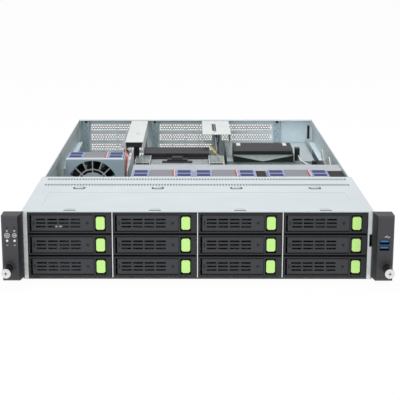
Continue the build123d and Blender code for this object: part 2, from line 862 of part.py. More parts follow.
def fan_top_pieces():
    """The front lip, the two finger loops and the plate between them, lying on the frame."""
    left = -module_width / 2 - fan_offset
    right = left + module_width
    base, top = fan_size / 2, fan_size / 2 + handle_sheet
    front, back = lip_depth + seat_gap, fan_depth - 1
    pieces = [
        block(left, right, 0, lip_depth, base, top),
        block(left + handle_length + seat_gap, right - handle_length - seat_gap, front, back, base, top),
    ]
    for centre in (left + handle_length / 2, right - handle_length / 2):
        loop = block(centre - handle_length / 2, centre + handle_length / 2, front, back, base, top)
        loop = chamfer(loop.edges().filter_by(Axis.Z), handle_corner)
        for y in ((3 * front + back) / 4, (front + 3 * back) / 4):
            loop -= block(centre - handle_slot_length / 2, centre + handle_slot_length / 2,
                          y - handle_slot_width / 2, y + handle_slot_width / 2, base - 1, top + 1)
        pieces.append(loop)
    return pieces


def twisted_blade():
    """A blade along Z from the hub outwards, twisted from its root to its tip in flat facets."""
    root = rotor_hub_share * bore_radius - 1
    rings = []
    for radius, chord, pitch in zip((root, (root + blade_tip) / 2, blade_tip), blade_chords, blade_pitches):
        along, thick, turn = chord / 2, blade_thickness / 2, math.radians(pitch)
        rings.append([
            (x * math.cos(turn) - y * math.sin(turn), x * math.sin(turn) + y * math.cos(turn), radius)
            for x, y in ((along, thick), (-along, thick), (-along, -thick), (along, -thick))
        ])
    outlines = [rings[0], rings[-1]]
    for low, high in zip(rings, rings[1:]):
        for i in range(4):
            j = (i + 1) % 4
            outlines += [(low[i], low[j], high[j]), (low[i], high[j], high[i])]
    return Solid(Shell([Face(Wire.make_polygon(outline)) for outline in outlines]))


def fan_rotor():
    """Hub, shaft and twisted blades about the Y axis, with the frame's origin."""
    front = guard_sheet + rotor_setback
    back = front + rotor_hub_depth
    rotor = from_front(RegularPolygon(rotor_hub_share * bore_radius, 2 * blade_count), front, rotor_hub_depth)
    rotor += rod_y(shaft_radius, 0, 0, back, fan_depth - bracket_sheet - seat_gap)
    blade = twisted_blade()
    for i in range(blade_count):
        rotor += Rot(0, i * 360 / blade_count, 0) * Pos(0, (front + back) / 2, 0) * blade
    return rotor


# Air duct: clear walls beside the heat sink and over the memory, and the two black beams across them

def clear_wall(points, floor, top):
    """An upright sheet that follows a line of (x, y) points."""
    outline = points + [(x + duct_sheet, y) for x, y in reversed(points)]
    return along_z(outline, floor, top)


def beam(left, right, y, depth, top, height):
    """A hollow beam along X, chamfered along its top front edge and open below."""
    solid = block(left, right, y, y + depth, top - height, top)
    front_edge = solid.edges().filter_by(Axis.X).group_by(Axis.Z)[-1].sort_by(Axis.Y)[0]
    solid = chamfer(front_edge, beam_round)
    inner_front = y + beam_wall + beam_round / 2
    return solid - block(left + beam_wall, right - beam_wall, inner_front, y + depth - beam_wall,
                         top - height - 1, top - beam_wall - beam_round / 2)


def air_duct():
    floor = board_top + seat_gap
    front = fan_back + rail_depth + seat_gap
    bank_front = fan_back + memory_y - memory_length / 2 - memory_socket_over
    bank_back = fan_back + memory_y + memory_length / 2 + memory_socket_over
    left, right = sink_left - duct_gap - duct_sheet, sink_right + duct_gap
    lid_floor = floor + duct_height
    lid_top = lid_floor + duct_sheet
    beam_y = fan_back + sink_y + sink_length / 2 + beam_gap
    pieces = [
        clear_wall([(left, front), (left, bank_back)], floor, lid_floor),
        clear_wall([(right, front), (right, bank_back)], floor, lid_floor),
        block(left, right + duct_sheet, fan_back + lid_front, beam_y + beam_depth, lid_floor, lid_top),
        beam(left - beam_overhang, right + duct_sheet + beam_wall, beam_y, beam_depth, lid_top + beam_height,
             beam_height),
    ]
    for side in (-1, 1):
        centre = sink_x * across + side * (bank_start + bank_width / 2)
        half = bank_width / 2 + duct_sheet + seat_gap
        hood = folded_channel(half, floor + bank_lid_height, bank_lid_height, duct_sheet)
        pieces.append(along_y([(centre + x, z) for x, z in hood], bank_front, bank_front + bank_lid_length))
    guide_back = psu_y - board_side_gap
    guide_left = guide_x * across
    bend = (guide_left, guide_back - guide_bend_length)
    front_end = (guide_left + guide_bend * across, guide_back - guide_length)
    pieces.append(clear_wall([front_end, bend], floor, floor + guide_height))
    pieces.append(clear_wall([bend, (guide_left, guide_back)], floor, floor + guide_height))
    return pieces + right_beam()


def right_beam():
    """The black beam on its plinth over the power supplies, with the silver baffle hung in front."""
    half = right_beam_width * across / 2
    left, right = right_beam_x * across - half, right_beam_x * across + half
    front = fan_back + right_beam_y
    bottom = cage_top + bracket_sheet
    top = bottom + plinth_height
    step = front + plinth_step
    baffle = along_y([
        (left, top), (right, top), (right, top - baffle_end_drop), ((left + right) / 2, top - baffle_drop),
        (left, top - baffle_end_drop),
    ], step - baffle_sheet, step)
    return [
        beam(left, right, front, right_beam_depth, top + right_beam_height, right_beam_height),
        block(left, right + beam_wall, step, front + right_beam_depth, bottom, top),
        baffle,
    ]


# Rear wall with its slot covers and posts, and the power supply cage riveted to it

def rear_panel():
    """The rear wall with its windows and cut-outs, and the rail along its top."""
    bend = wall_top - cover_flange - joggle
    upper = inner_half - seat_gap
    lower = half_width - pan_sheet - seat_gap
    wall = along_y(mirrored([(upper, wall_top), (upper, bend + joggle), (lower, bend), (lower, pan_sheet)]),
                   rear_front, chassis_depth)
    rail = block(-upper, upper, rear_front - rail_lip, rear_front, wall_top - rear_sheet, wall_top)
    for x, width, count in slot_groups:
        half = width / 2 - cover_edge
        for row in range(count):
            top = cover_row_top - row * cover_row_pitch
            wall -= block(x - half, x + half, rear_front - 1, chassis_depth + 1,
                          top - cover_row_height + cover_edge / 2, top - cover_edge / 2)
    for i in range(psu_count):
        left = psu_left + psu_gap / 2 + i * (supply_width + psu_gap)
        wall -= block(left, left + supply_width + psu_gap, rear_front - 1, chassis_depth + 1, pan_sheet - 1,
                      cage_top - psu_gap / 2)
    port_left = (left_cover_x - cover_width / 2) * across
    port_right = port_left + (sum(port_widths) + len(port_widths) * port_space) * across
    wall -= block(port_left, port_right, rear_front - 1, chassis_depth + 1, board_floor - seat_gap,
                  board_top + port_height + seat_gap)
    return [wall, rail]


def supply_cage():
    """The folded cage over the two power supplies, riveted to the rear wall."""
    left, right, top = psu_left - bracket_sheet, psu_right + bracket_sheet, cage_top + bracket_sheet
    return along_y([
        (right, pan_sheet), (right, top), (left, top), (left, pan_sheet),
        (psu_left, pan_sheet), (psu_left, cage_top), (psu_right, cage_top), (psu_right, pan_sheet),
    ], psu_y, rear_front)


def slot_covers():
    """One windowed cover plate in front of each slot in the rear wall."""
    covers = []
    front = rear_front - bracket_sheet
    for x, width, count in slot_groups:
        rim = cover_edge + window_frame
        pane = (width - 2 * rim - (window_count - 1) * window_rib) / window_count
        for row in range(count):
            top = cover_row_top - row * cover_row_pitch
            bottom = top - cover_row_height
            cover = block(x - width / 2, x + width / 2, front, rear_front, bottom, top)
            for i in range(window_count):
                left = x - width / 2 + rim + i * (pane + window_rib)
                cover -= block(left, left + pane, front - 1, rear_front + 1,
                               bottom + cover_edge / 2 + window_frame, top - cover_edge / 2 - window_frame)
            covers.append(cover)
    return covers


def cover_posts():
    """The posts that the covers are screwed to, one left of each group and one right of the last."""
    places = [(x - width / 2 - seat_gap - post_width, count) for x, width, count in slot_groups]
    last_x, last_width, last_count = slot_groups[-1]
    places.append((last_x + last_width / 2 + seat_gap, last_count))
    posts = []
    for left, count in places:
        bottom = cover_row_top - (count - 1) * cover_row_pitch - cover_row_height
        posts.append(block(left, left + post_width, rear_front - post_depth, rear_front, bottom,
                           wall_top - rear_sheet))
    return posts


def riser_brackets():
    """The lid-high brackets that carry the riser cards and the ends of the expansion cards."""
    brackets = []
    back = rear_front - riser_rear_gap
    for x, width, length, _, ledge in risers:
        half = width / 2
        outline = [(x + edge, z) for edge, z in folded_channel(half, wall_top, riser_drop, bracket_sheet)]
        bracket = along_y(outline, back - length, back)
        if ledge:
            shelf = wall_top - riser_ledge_drop
            bracket += block(x - half - ledge, x - half, back - riser_ledge_length, back, shelf,
                             shelf + bracket_sheet)
            slot_left, slot_gap, slot_size = x - riser_slot_edge, riser_slot_gap, riser_slot_length
        else:
            slot_left, slot_gap, slot_size = x - riser_slot - seat_gap, riser_notch_gap, riser_notch_length
        slot_y = back - slot_gap
        bracket -= block(slot_left, slot_left + riser_slot, slot_y - slot_size / 2, slot_y + slot_size / 2,
                         wall_top - 2 * bracket_sheet, wall_top + 1)
        brackets.append(bracket)
    return brackets


def power_supply():
    """One supply at the origin, facing +Y: its housing, the moulded end frame, the handle and the latch."""
    back = psu_length
    middle = psu_height / 2
    frame_front = back - inlet_depth
    body = block(0, supply_width, 0, frame_front, 0, psu_height)
    frame = block(0, supply_width, frame_front, back, 0, psu_height)
    frame -= block(inlet_left, inlet_left + inlet_width, frame_front - 1, back + 1, middle - inlet_height / 2,
                   middle + inlet_height / 2)
    for i in range(psu_vents):
        z = middle + (i - (psu_vents - 1) / 2) * psu_vent_pitch - psu_vent_height / 2
        frame -= block(psu_vent_left, supply_width - 2 * psu_edge, back - psu_vent_depth, back + 1, z,
                       z + psu_vent_height)
    handle_x = inlet_left + inlet_width + psu_edge / 2
    reach = back + psu_handle_reach
    handle = block(handle_x, handle_x + psu_handle_sheet, back, reach, psu_edge, psu_height - psu_edge)
    handle -= block(handle_x - 1, handle_x + psu_handle_sheet + 1, back - 1, reach - psu_handle_bar,
                    psu_edge + psu_handle_bar, psu_height - psu_edge - psu_handle_bar)
    latch_x = supply_width - psu_edge
    latch = block(latch_x - psu_latch_width, latch_x, back, back + psu_latch_reach, 2 * psu_edge, middle)
    return [body, frame, handle, latch]


def build_all():
    os.makedirs("parts", exist_ok=True)
    save("chassis_pan", chassis_pan(), *standoffs())
    save("front_cover", front_cover())
    save("drive_cage", *drive_cage())
    save("ears", *left_ear(), *right_ear())
    save("thumbscrew_left", thumbscrew(-1))
    save("thumbscrew_right", thumbscrew(1))
    save("power_button", power_button())
    bezel = carrier_bezel()
    tray = carrier_tray()
    pull = lever()
    button = release_button()
    for row, row_name in enumerate(row_names):
        for column, x in enumerate(column_centres):
            place = Pos(x, 0, row_bottoms[row] + row_gap / 2)
            save(f"carrier_{row_name}_{column + 1}", place * bezel, *[place * sheet for sheet in tray])
            save(f"lever_{row_name}_{column + 1}", place * pull)
            save(f"release_{row_name}_{column + 1}", place * button)
    save("fan_wall", *fan_wall())
    frame = fan_frame()
    top_pieces = fan_top_pieces()
    rotor = fan_rotor()
    for i, (x, y) in enumerate(module_places):
        place = Pos(x + fan_offset, y, fan_axis)
        save(f"fan_module_{i + 1}", place * frame, *[place * piece for piece in top_pieces])
        save(f"fan_rotor_{i + 1}", place * rotor)
    save("circuit_boards", *main_board(), *backplane(), *rear_ports(), *riser_cards())
    save("heat_sink_and_memory", heat_sink(), *memory())
    save("air_duct", *air_duct())
    save("rear_panel", *rear_panel())
    save("supply_cage", supply_cage())
    save("riser_brackets", *riser_brackets(), *slot_covers(), *cover_posts())
    supply = power_supply()
    for i, name in enumerate(("left", "right")):
        place = Pos(psu_left + psu_gap + i * (supply_width + psu_gap), chassis_depth - psu_length, psu_floor)
        save(f"power_supply_{name}", *[place * piece for piece in supply])


build_all()
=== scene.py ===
# %% [markdown]
# A rack server, two units high, dressed for its portrait.
# The CAD model gives every rigid part its true shape and place, so this lesson starts from it. Blender adds
# what CAD leaves out: finishes, perforated sheet, screws, wires, small marks, the light and the camera.

# %% Load the frame
import bpy, bmesh, math
from mathutils import Matrix, Vector


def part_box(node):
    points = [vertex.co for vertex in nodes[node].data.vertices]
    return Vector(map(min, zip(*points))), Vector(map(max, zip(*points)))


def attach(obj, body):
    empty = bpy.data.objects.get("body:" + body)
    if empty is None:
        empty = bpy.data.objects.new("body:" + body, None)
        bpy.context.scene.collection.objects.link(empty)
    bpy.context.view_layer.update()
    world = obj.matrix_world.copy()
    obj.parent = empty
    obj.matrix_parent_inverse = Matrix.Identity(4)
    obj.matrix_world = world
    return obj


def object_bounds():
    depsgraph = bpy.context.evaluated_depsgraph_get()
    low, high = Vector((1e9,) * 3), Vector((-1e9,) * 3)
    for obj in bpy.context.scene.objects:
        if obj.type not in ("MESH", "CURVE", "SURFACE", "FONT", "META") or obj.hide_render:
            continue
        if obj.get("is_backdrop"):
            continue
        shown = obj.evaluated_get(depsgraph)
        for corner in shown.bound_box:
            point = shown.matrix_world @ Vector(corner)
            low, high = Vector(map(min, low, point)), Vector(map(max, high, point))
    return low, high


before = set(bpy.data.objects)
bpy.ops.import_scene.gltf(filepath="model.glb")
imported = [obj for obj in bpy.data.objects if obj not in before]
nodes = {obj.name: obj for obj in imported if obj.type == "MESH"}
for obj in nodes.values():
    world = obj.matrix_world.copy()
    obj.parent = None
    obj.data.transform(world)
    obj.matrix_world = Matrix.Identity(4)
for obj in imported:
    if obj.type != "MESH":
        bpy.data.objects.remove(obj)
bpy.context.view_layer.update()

front_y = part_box("front_cover")[0].y

# %% [markdown]
# Server drawings give lengths in millimetres and depths from the chassis front. Blender works in metres, with
# the origin under the middle of the chassis. One small function turns the first into the second, so the sizes
# below read as they would on a drawing.

# %% Drawing units
MM = 0.001


def at(x, y, z):
    """A point in millimetres, with y counted back from the chassis front, as a place in the frame."""
    return Vector((x * MM, front_y + y * MM, z * MM))


def drawing_box(node):
    """The corners of a CAD node in drawing millimetres."""
    low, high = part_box(node)
    return [(v.x / MM, (v.y - front_y) / MM, v.z / MM) for v in (low, high)]


# %% [markdown]
# The photograph looks down on the server by about thirteen degrees with a long lens, which keeps the sides
# nearly parallel. The lens and the place were found by matching corners of known size, and the small shift
# moves the picture without turning the camera.

# %% Camera
camera_data = bpy.data.cameras.new("portrait")
camera_data.lens = 101.9
camera_data.shift_x = 0.03
camera_data.clip_end = 20
camera = bpy.data.objects.new("portrait", camera_data)
camera.location = at(-8.4, -1367.1, 421.7)
camera.rotation_euler = (math.radians(90 - 13.16), 0, math.radians(0.15))
bpy.context.scene.collection.objects.link(camera)
bpy.context.scene.camera = camera

# %% [markdown]
# A product shot on white wants light from everywhere and a little more from above and the front, so that
# edges still read. The world gives the even part. Camera rays and rays through
# clear sheet see plain white, which makes the white background.

# %% World, lamps and floor
world = bpy.data.worlds.new("white_room")
bpy.context.scene.world = world
world.use_nodes = True


def add(tree, kind, inputs=None, **settings):
    """Adds one node. Inputs maps a socket to a value, or to the output that feeds it."""
    node = tree.nodes.new(kind)
    for key, value in settings.items():
        setattr(node, key, value)
    for key, value in (inputs or {}).items():
        if isinstance(value, bpy.types.NodeSocket):
            tree.links.new(value, node.inputs[key])
        else:
            node.inputs[key].default_value = value
    return node


tree = world.node_tree
tree.nodes.clear()
path = add(tree, "ShaderNodeLightPath")
seen = add(tree, "ShaderNodeMath", {0: path.outputs["Is Camera Ray"], 1: path.outputs["Is Transmission Ray"]},
           operation="MAXIMUM")
even = add(tree, "ShaderNodeBackground", {"Color": (1, 1, 1, 1), "Strength": 0.62})
bright = add(tree, "ShaderNodeBackground", {"Color": (1, 1, 1, 1), "Strength": 1.0})
mixed = add(tree, "ShaderNodeMixShader", {0: seen.outputs[0], 1: even.outputs[0], 2: bright.outputs[0]})
add(tree, "ShaderNodeOutputWorld", {"Surface": mixed.outputs[0]})


def lamp(name, place, target, size, power):
    """A square soft box that looks at a point."""
    data = bpy.data.lights.new(name, "AREA")
    data.size = size
    data.energy = power
    obj = bpy.data.objects.new(name, data)
    obj.location = place
    obj.rotation_euler = (Vector(target) - Vector(place)).to_track_quat("-Z", "Y").to_euler()
    bpy.context.scene.collection.objects.link(obj)


lamp("overhead", (0.1, 0.1, 1.9), (0, 0, 0), 1.8, 11)
lamp("front_left", (-1.1, -1.7, 1.0), (0, -0.2, 0.05), 1.2, 12)
lamp("rear_bay", (0.0, 0.0, 0.85), (0, 0.25, 0), 0.5, 2.2)


# %% [markdown]
# Colours are written as the hex codes that a paint program shows. Those are sRGB, and Blender's shaders work
# in linear light, so one function converts them. Every finish starts from the same three nodes: object
# coordinates, a principled shader and the output.

# %% Colour and material helpers
def colour(code):
    """An sRGB hex code as linear red, green, blue and alpha."""
    parts = [int(code[i:i + 2], 16) / 255 for i in (1, 3, 5)]
    return tuple(p / 12.92 if p <= 0.04045 else ((p + 0.055) / 1.055) ** 2.4 for p in parts) + (1.0,)


def new_finish(name, code, roughness, metallic=0.0, **more):
    """A material with its shader, and the object coordinates that patterns read."""
    material = bpy.data.materials.new(name)
    material.use_nodes = True
    material.diffuse_color = colour(code)
    tree = material.node_tree
    tree.nodes.clear()
    place = add(tree, "ShaderNodeTexCoord")
    inputs = {"Base Color": colour(code), "Roughness": roughness, "Metallic": metallic}
    inputs.update(more)
    shader = add(tree, "ShaderNodeBsdfPrincipled", inputs)
    add(tree, "ShaderNodeOutputMaterial", {"Surface": shader.outputs[0]})
    return material, tree, shader, place.outputs["Object"]


def vary_colour(tree, shader, factor, dark, light):
    """Runs the base colour between two codes by a factor."""
    mix = add(tree, "ShaderNodeMix", {"Factor": factor, "A": colour(dark), "B": colour(light)},
              data_type="RGBA")
    tree.links.new(mix.outputs["Result"], shader.inputs["Base Color"])


def vary_roughness(tree, shader, factor, low, high):
    """Runs the roughness between two values by a factor."""
    span = add(tree, "ShaderNodeMapRange", {"Value": factor, "To Min": low, "To Max": high})
    tree.links.new(span.outputs[0], shader.inputs["Roughness"])


def bump(tree, shader, height, depth_mm, strength=1.0):
    """Bends the surface normal by a height, as if it were so deep."""
    node = add(tree, "ShaderNodeBump", {"Height": height, "Distance": depth_mm * MM, "Strength": strength})
    tree.links.new(node.outputs[0], shader.inputs["Normal"])


def per_mm(size):
    """The texture scale that gives one cell or wave this many millimetres."""
    return 1 / (size * MM)


# %% [markdown]
# Hot-dip galvanised steel: sheet drawn through molten zinc, which sets in crystals a few millimetres wide.
# Each crystal turns the light its own way, so the eye sees faint pale and grey patches and a dull mirror.

# %% Galvanised steel
def make_zinc(name, dark, light, metallic):
    material, tree, shader, place = new_finish(name, light, 0.42, metallic)
    crystals = add(tree, "ShaderNodeTexVoronoi", {"Vector": place, "Scale": per_mm(7)})
    cloud = add(tree, "ShaderNodeTexNoise", {"Vector": place, "Scale": per_mm(60), "Detail": 3})
    grey = add(tree, "ShaderNodeSeparateColor", {"Color": crystals.outputs["Color"]})
    blend = add(tree, "ShaderNodeMix", {"Factor": 0.5, "A": grey.outputs[0], "B": cloud.outputs[0]})
    vary_colour(tree, shader, blend.outputs[0], dark, light)
    vary_roughness(tree, shader, grey.outputs[1], 0.34, 0.50)
    return material


zinc = make_zinc("galvanised_steel_sheet", "#B0BBBF", "#C8D1D4", 0.12)
# A lighter copy of the zinc, painted light for the rear wall and its slot covers, which face the camera in
# shade.
wall_zinc_painted_light = make_zinc("galvanised_steel_rear_wall_painted_lighter", "#D3DEE3", "#E2EBEF", 0.05)
rail_zinc = make_zinc("galvanised_steel_fan_rail", "#ABB0B6", "#BBC0C6", 0.15)
# A lighter copy of the zinc, painted light for sheet that catches more of it: the brackets, the drive cage,
# the pan's front strips and the duct's silver baffle.
zinc_painted_lighter = make_zinc("galvanised_steel_painted_lighter", "#D3D8D7", "#E6EAE8", 0.15)
blue_zinc = make_zinc("galvanised_steel_blank_plate", "#D2E4EC", "#DDEDF4", 0.05)
mesh_zinc = make_zinc("galvanised_steel_mesh", "#687276", "#7D878B", 0.1)
post_zinc = make_zinc("galvanised_steel_post", "#A2B5BE", "#B1C4CC", 0.1)
# A darker copy of the zinc, painted shade for the side of the left bracket.
zinc_side_painted_shade = make_zinc("galvanised_steel_side_painted_shade", "#9A9DA0", "#A9ACAF", 0.15)

# %% [markdown]
# The front cover is electro-galvanised steel, a thinner and more even zinc coat than a dip gives. It looks
# almost like pale grey paint, with a soft broad sheen and barely any grain.

# %% Pale cover sheet
cover_sheet, tree, shader, place = new_finish("electro_galvanised_cover", "#CCD4D8", 0.5, 0.1)
cloud = add(tree, "ShaderNodeTexNoise", {"Vector": place, "Scale": per_mm(45), "Detail": 4})
vary_colour(tree, shader, cloud.outputs[0], "#C6CED2", "#D3DADD")
grit = add(tree, "ShaderNodeTexNoise", {"Vector": place, "Scale": per_mm(1.2)})
bump(tree, shader, grit.outputs[0], 0.05, 0.4)

# %% [markdown]
# The ears and drive bezels are moulded ABS with polycarbonate. The tool is spark-eroded, which leaves a fine
# even grain of about half a millimetre that breaks up the highlights and makes black plastic look dark grey.

# %% Grained plastic
def make_moulded(name, code, grain_mm, roughness):
    material, tree, shader, place = new_finish(name, code, roughness)
    grain = add(tree, "ShaderNodeTexNoise", {"Vector": place, "Scale": per_mm(grain_mm), "Detail": 2})
    bump(tree, shader, grain.outputs[0], 0.06, 0.5)
    vary_roughness(tree, shader, grain.outputs[0], roughness - 0.06, roughness + 0.08)
    return material


ear_plastic = make_moulded("moulded_abs_ear", "#3C3B40", 0.6, 0.52)
bezel_plastic = make_moulded("moulded_abs_bezel", "#212227", 0.6, 0.55)
lever_plastic = make_moulded("moulded_abs_lever", "#323338", 0.6, 0.5)
green_plastic = make_moulded("moulded_abs_release_green", "#C8F78F", 0.8, 0.42)
fan_plastic = make_moulded("moulded_pbt_fan_frame", "#9DAEB7", 0.8, 0.45)
plate_plastic = make_moulded("moulded_pbt_fan_plate", "#7C7E86", 0.8, 0.42)
# The loops' top faces take a paler blue as painted highlight, and their other faces navy as painted shade.
loop_side_painted_shade = make_moulded("moulded_abs_loop_navy_painted_shade", "#35488F", 0.8, 0.4)
loop_top_painted_highlight = make_moulded("moulded_abs_loop_blue_painted_highlight", "#8593C4", 0.8, 0.35)
# Painted shade for the pockets of the fan loops.
loop_shade = make_moulded("loop_pocket_painted_shade", "#0D1B58", 0.8, 0.5)
rotor_plastic = make_moulded("moulded_pbt_rotor", "#1D1D20", 0.8, 0.35)
beam_plastic = make_moulded("moulded_pc_duct_beam", "#1F1E24", 0.8, 0.5)
grey_plastic = make_moulded("moulded_abs_button", "#8B8E93", 0.6, 0.4)
# A near-black copy of the ear plastic, painted shade on the ears' inner sides.
ear_side_painted_shade = make_moulded("moulded_abs_ear_side_painted_shade", "#181A22", 0.6, 0.5)
latch_plastic = make_moulded("moulded_abs_supply_latch", "#C9512E", 0.8, 0.4)
# The white of the fan lip is a painted highlight where the top plate's front edge catches the light.
lip_highlight_white = make_moulded("moulded_pbt_fan_lip_painted_highlight", "#E0E9EE", 0.8, 0.4)
foam = make_moulded("filler_foam", "#2A2725", 1.5, 0.9)

# %% [markdown]
# The guard wires and hub label of each fan are bright pressed steel, and the screws are nickel plated. Both
# are smooth metal, so roughness alone tells them from zinc.

# %% Bright metals
guard_steel, tree, shader, place = new_finish("pressed_steel_guard", "#D5DADD", 0.32, 0.6)
streak = add(tree, "ShaderNodeTexNoise", {"Vector": place, "Scale": per_mm(3)})
vary_roughness(tree, shader, streak.outputs[0], 0.26, 0.4)
nickel, tree, shader, place = new_finish("nickel_plated_screw", "#E4E6E6", 0.25, 0.8)
turned = add(tree, "ShaderNodeTexNoise", {"Vector": place, "Scale": per_mm(0.8)})
vary_roughness(tree, shader, turned.outputs[0], 0.2, 0.34)
black_screw, tree, shader, place = new_finish("black_oxide_knurl", "#1B1B1D", 0.38, 0.4)
knurl = add(tree, "ShaderNodeTexNoise", {"Vector": place, "Scale": per_mm(0.7)})
bump(tree, shader, knurl.outputs[0], 0.15, 0.8)
aluminium, tree, shader, place = new_finish("extruded_aluminium_fins", "#C6CACD", 0.36, 0.8)
drawn = add(tree, "ShaderNodeTexNoise", {"Vector": place, "Scale": per_mm(2)})
vary_roughness(tree, shader, drawn.outputs[0], 0.3, 0.45)

# %% [markdown]
# Circuit boards are glass-fibre laminate under a green solder mask. Copper tracks under the mask lift it a
# little, which shows as a fine pattern of lighter lines.

# %% Solder mask
def make_board(name, dark, light):
    material, tree, shader, place = new_finish(name, dark, 0.35)
    tracks = add(tree, "ShaderNodeTexBrick", {"Vector": place, "Scale": per_mm(14), "Mortar Size": 0.06,
                                              "Color1": (0, 0, 0, 1), "Color2": (0.25, 0.25, 0.25, 1),
                                              "Mortar": (1, 1, 1, 1)})
    vary_colour(tree, shader, tracks.outputs[0], dark, light)
    return material


board_mask = make_board("green_solder_mask", "#24503F", "#3D7A60")
riser_mask = make_board("olive_solder_mask", "#4B4634", "#6C6548")
# Black epoxy for chips, and also the black of the painted shade under the left riser's front.
chip_black_and_painted_shade = make_moulded("epoxy_chip_and_painted_shade", "#232327", 1.0, 0.5)
dark_steel, tree, shader, place = new_finish("shaded_steel_edge", "#2A2B2E", 0.5, 0.3)
scuff = add(tree, "ShaderNodeTexNoise", {"Vector": place, "Scale": per_mm(5)})
vary_roughness(tree, shader, scuff.outputs[0], 0.42, 0.6)
socket_white = make_moulded("nylon_socket", "#DAD9D2", 1.0, 0.5)
socket_blue = make_moulded("usb_tongue_blue", "#2176B8", 1.0, 0.35)
contact_gold, tree, shader, place = new_finish("gold_contact", "#D9B45B", 0.3, 1.0)

# %% [markdown]
# The duct is clear polycarbonate, bent from sheet. Seen flat on it only dims what lies behind, and seen along
# a sawn edge it glows, because light travels inside the sheet. A mostly see-through shader gives the first,
# and a white one on the narrow faces paints the glow on as a highlight.

# %% Clear sheet
clear_sheet, tree, shader, place = new_finish("clear_polycarbonate", "#C9D2D6", 0.12, 0.0, Alpha=0.34)
haze = add(tree, "ShaderNodeTexNoise", {"Vector": place, "Scale": per_mm(25), "Detail": 2})
vary_roughness(tree, shader, haze.outputs[0], 0.08, 0.2)
# White painted on the narrow faces as the highlight of their glow.
sawn_edge_painted_glow, tree, shader, place = new_finish("polycarbonate_sawn_edge", "#F2F5F6", 0.5)
saw = add(tree, "ShaderNodeTexNoise", {"Vector": place, "Scale": per_mm(0.6)})
bump(tree, shader, saw.outputs[0], 0.05, 0.5)
clear_lid, tree, shader, place = new_finish("clear_polycarbonate_lid", "#C4C7CC", 0.2, 0.0, Alpha=0.7)
haze = add(tree, "ShaderNodeTexNoise", {"Vector": place, "Scale": per_mm(18), "Detail": 2})
vary_colour(tree, shader, haze.outputs[0], "#A9ADB3", "#DADDE1")

# %% [markdown]
# Small marks are pad-printed in pale grey, and holes are painted as the deep shade that they show.

# %% Print and shade
print_grey, tree, shader, place = new_finish("pad_print_grey", "#E6E6EA", 0.6)
speck = add(tree, "ShaderNodeTexNoise", {"Vector": place, "Scale": per_mm(0.4)})
vary_colour(tree, shader, speck.outputs[0], "#D9D9DD", "#F2F2F4")
hole_shade, tree, shader, place = new_finish("shade_in_hole", "#17181A", 0.8)
speck = add(tree, "ShaderNodeTexNoise", {"Vector": place, "Scale": per_mm(2)})
vary_colour(tree, shader, speck.outputs[0], "#101113", "#202124")
cover_shade, tree, shader, place = new_finish("shade_in_cover_hole", "#5A6166", 0.7)
speck = add(tree, "ShaderNodeTexNoise", {"Vector": place, "Scale": per_mm(9)})
vary_colour(tree, shader, speck.outputs[0], "#4E555A", "#666D72")


def make_wire(name, code):
    """PVC wire jackets are smooth and slightly waxy."""
    material, tree, shader, place = new_finish(name, code, 0.38)
    wax = add(tree, "ShaderNodeTexNoise", {"Vector": place, "Scale": per_mm(4)})
    vary_roughness(tree, shader, wax.outputs[0], 0.3, 0.48)
    return material


wire_red = make_wire("pvc_wire_red", "#D0432F")
wire_orange = make_wire("pvc_wire_orange", "#E2674A")
# White wire jackets, and also the white of the painted edge glow on the duct and strap loops.
wire_white_and_painted_glow = make_wire("pvc_wire_white", "#E9E6E2")
wire_yellow = make_wire("pvc_wire_yellow", "#E3CF6A")
wire_purple = make_wire("pvc_wire_purple_grey", "#8C86A8")


# %% [markdown]
# A CAD node can hold several pieces of different stuff, such as a plastic bezel and its steel tray. The mesh
# of a node stays as it is, but each face may take its own material, so a small rule picks one by where the
# face lies.

# %% Dress the CAD nodes
def dress(node, materials, pick=None):
    """Gives a CAD node its materials. pick(x, y, z, normal) returns an index for a face's middle."""
    mesh = nodes[node].data
    mesh.materials.clear()
    for material in materials:
        mesh.materials.append(material)
    for face in mesh.polygons:
        c = face.center
        face.material_index = pick(c.x / MM, (c.y - front_y) / MM, c.z / MM, face.normal) if pick else 0


bezel_reach = 17.3
board_top = 9.62
columns = (1, 2, 3, 4)
rows = ("bottom", "middle", "top")
carriers = [f"{row}_{column}" for row in rows for column in columns]
for tag in carriers:
    tray_start = drawing_box(f"lever_{tag}")[0][1] + bezel_reach
    dress(f"carrier_{tag}", [bezel_plastic, zinc], lambda x, y, z, n: int(y > tray_start))
    dress(f"lever_{tag}", [lever_plastic])
    dress(f"release_{tag}", [green_plastic])

# The pan's front strips take the zinc painted lighter, and its bottom front edge takes the dark steel as
# painted shade.
dress("chassis_pan", [zinc, zinc_painted_lighter, dark_steel], lambda x, y, z, n: (
    1 if y < -0.1 else 2 if n.y < -0.9 and y < 0.1 and abs(x) < 212 else 0))
dress("front_cover", [cover_sheet])
dress("drive_cage", [zinc_painted_lighter, dark_steel], lambda x, y, z, n: int(n.y < -0.9 and z < 2.1))
dress("rear_panel", [wall_zinc_painted_light])
dress("supply_cage", [zinc])
post_middles = (-203.8, -75.8, 40.2, 151.8)
post_face = 720.95


def pick_bracket(x, y, z, n):
    """Blue-grey posts, slot covers in zinc painted lighter, the left bracket's side in painted shade, and
    zinc painted lighter for the rest.
    """
    if post_face - 0.15 < y < 726.5 and abs(n.y) > 0.9 and min(abs(x - p) for p in post_middles) < 6:
        return 3
    if y > 712.5:
        return 2
    return 1 if x < -118 and z < 70 else 0


dress("riser_brackets", [zinc_painted_lighter, zinc_side_painted_shade, wall_zinc_painted_light, post_zinc], pick_bracket)

# %% Dress the ears, the boards and the supplies
socket_x = 229.65
ear_front = -24.0


def pick_ear(x, y, z, n):
    """Steel angle, blue tongue, dark socket shell, inner side in painted shade, or moulded block."""
    aside = abs(x - socket_x)
    if y > 0.01:
        return 1
    if aside < 5.3 and (54.4 < z < 56.7 or 46.4 < z < 48.7) and ear_front + 0.2 < y < -10.5:
        return 3
    if aside < 6.2 and 43.5 < z < 57.5 and (y < ear_front - 0.1 or y > ear_front + 0.1 and aside < 6.05):
        return 2
    return 4 if n.x * x < -1 and abs(n.y) < 0.9 and abs(x) < 222 else 0


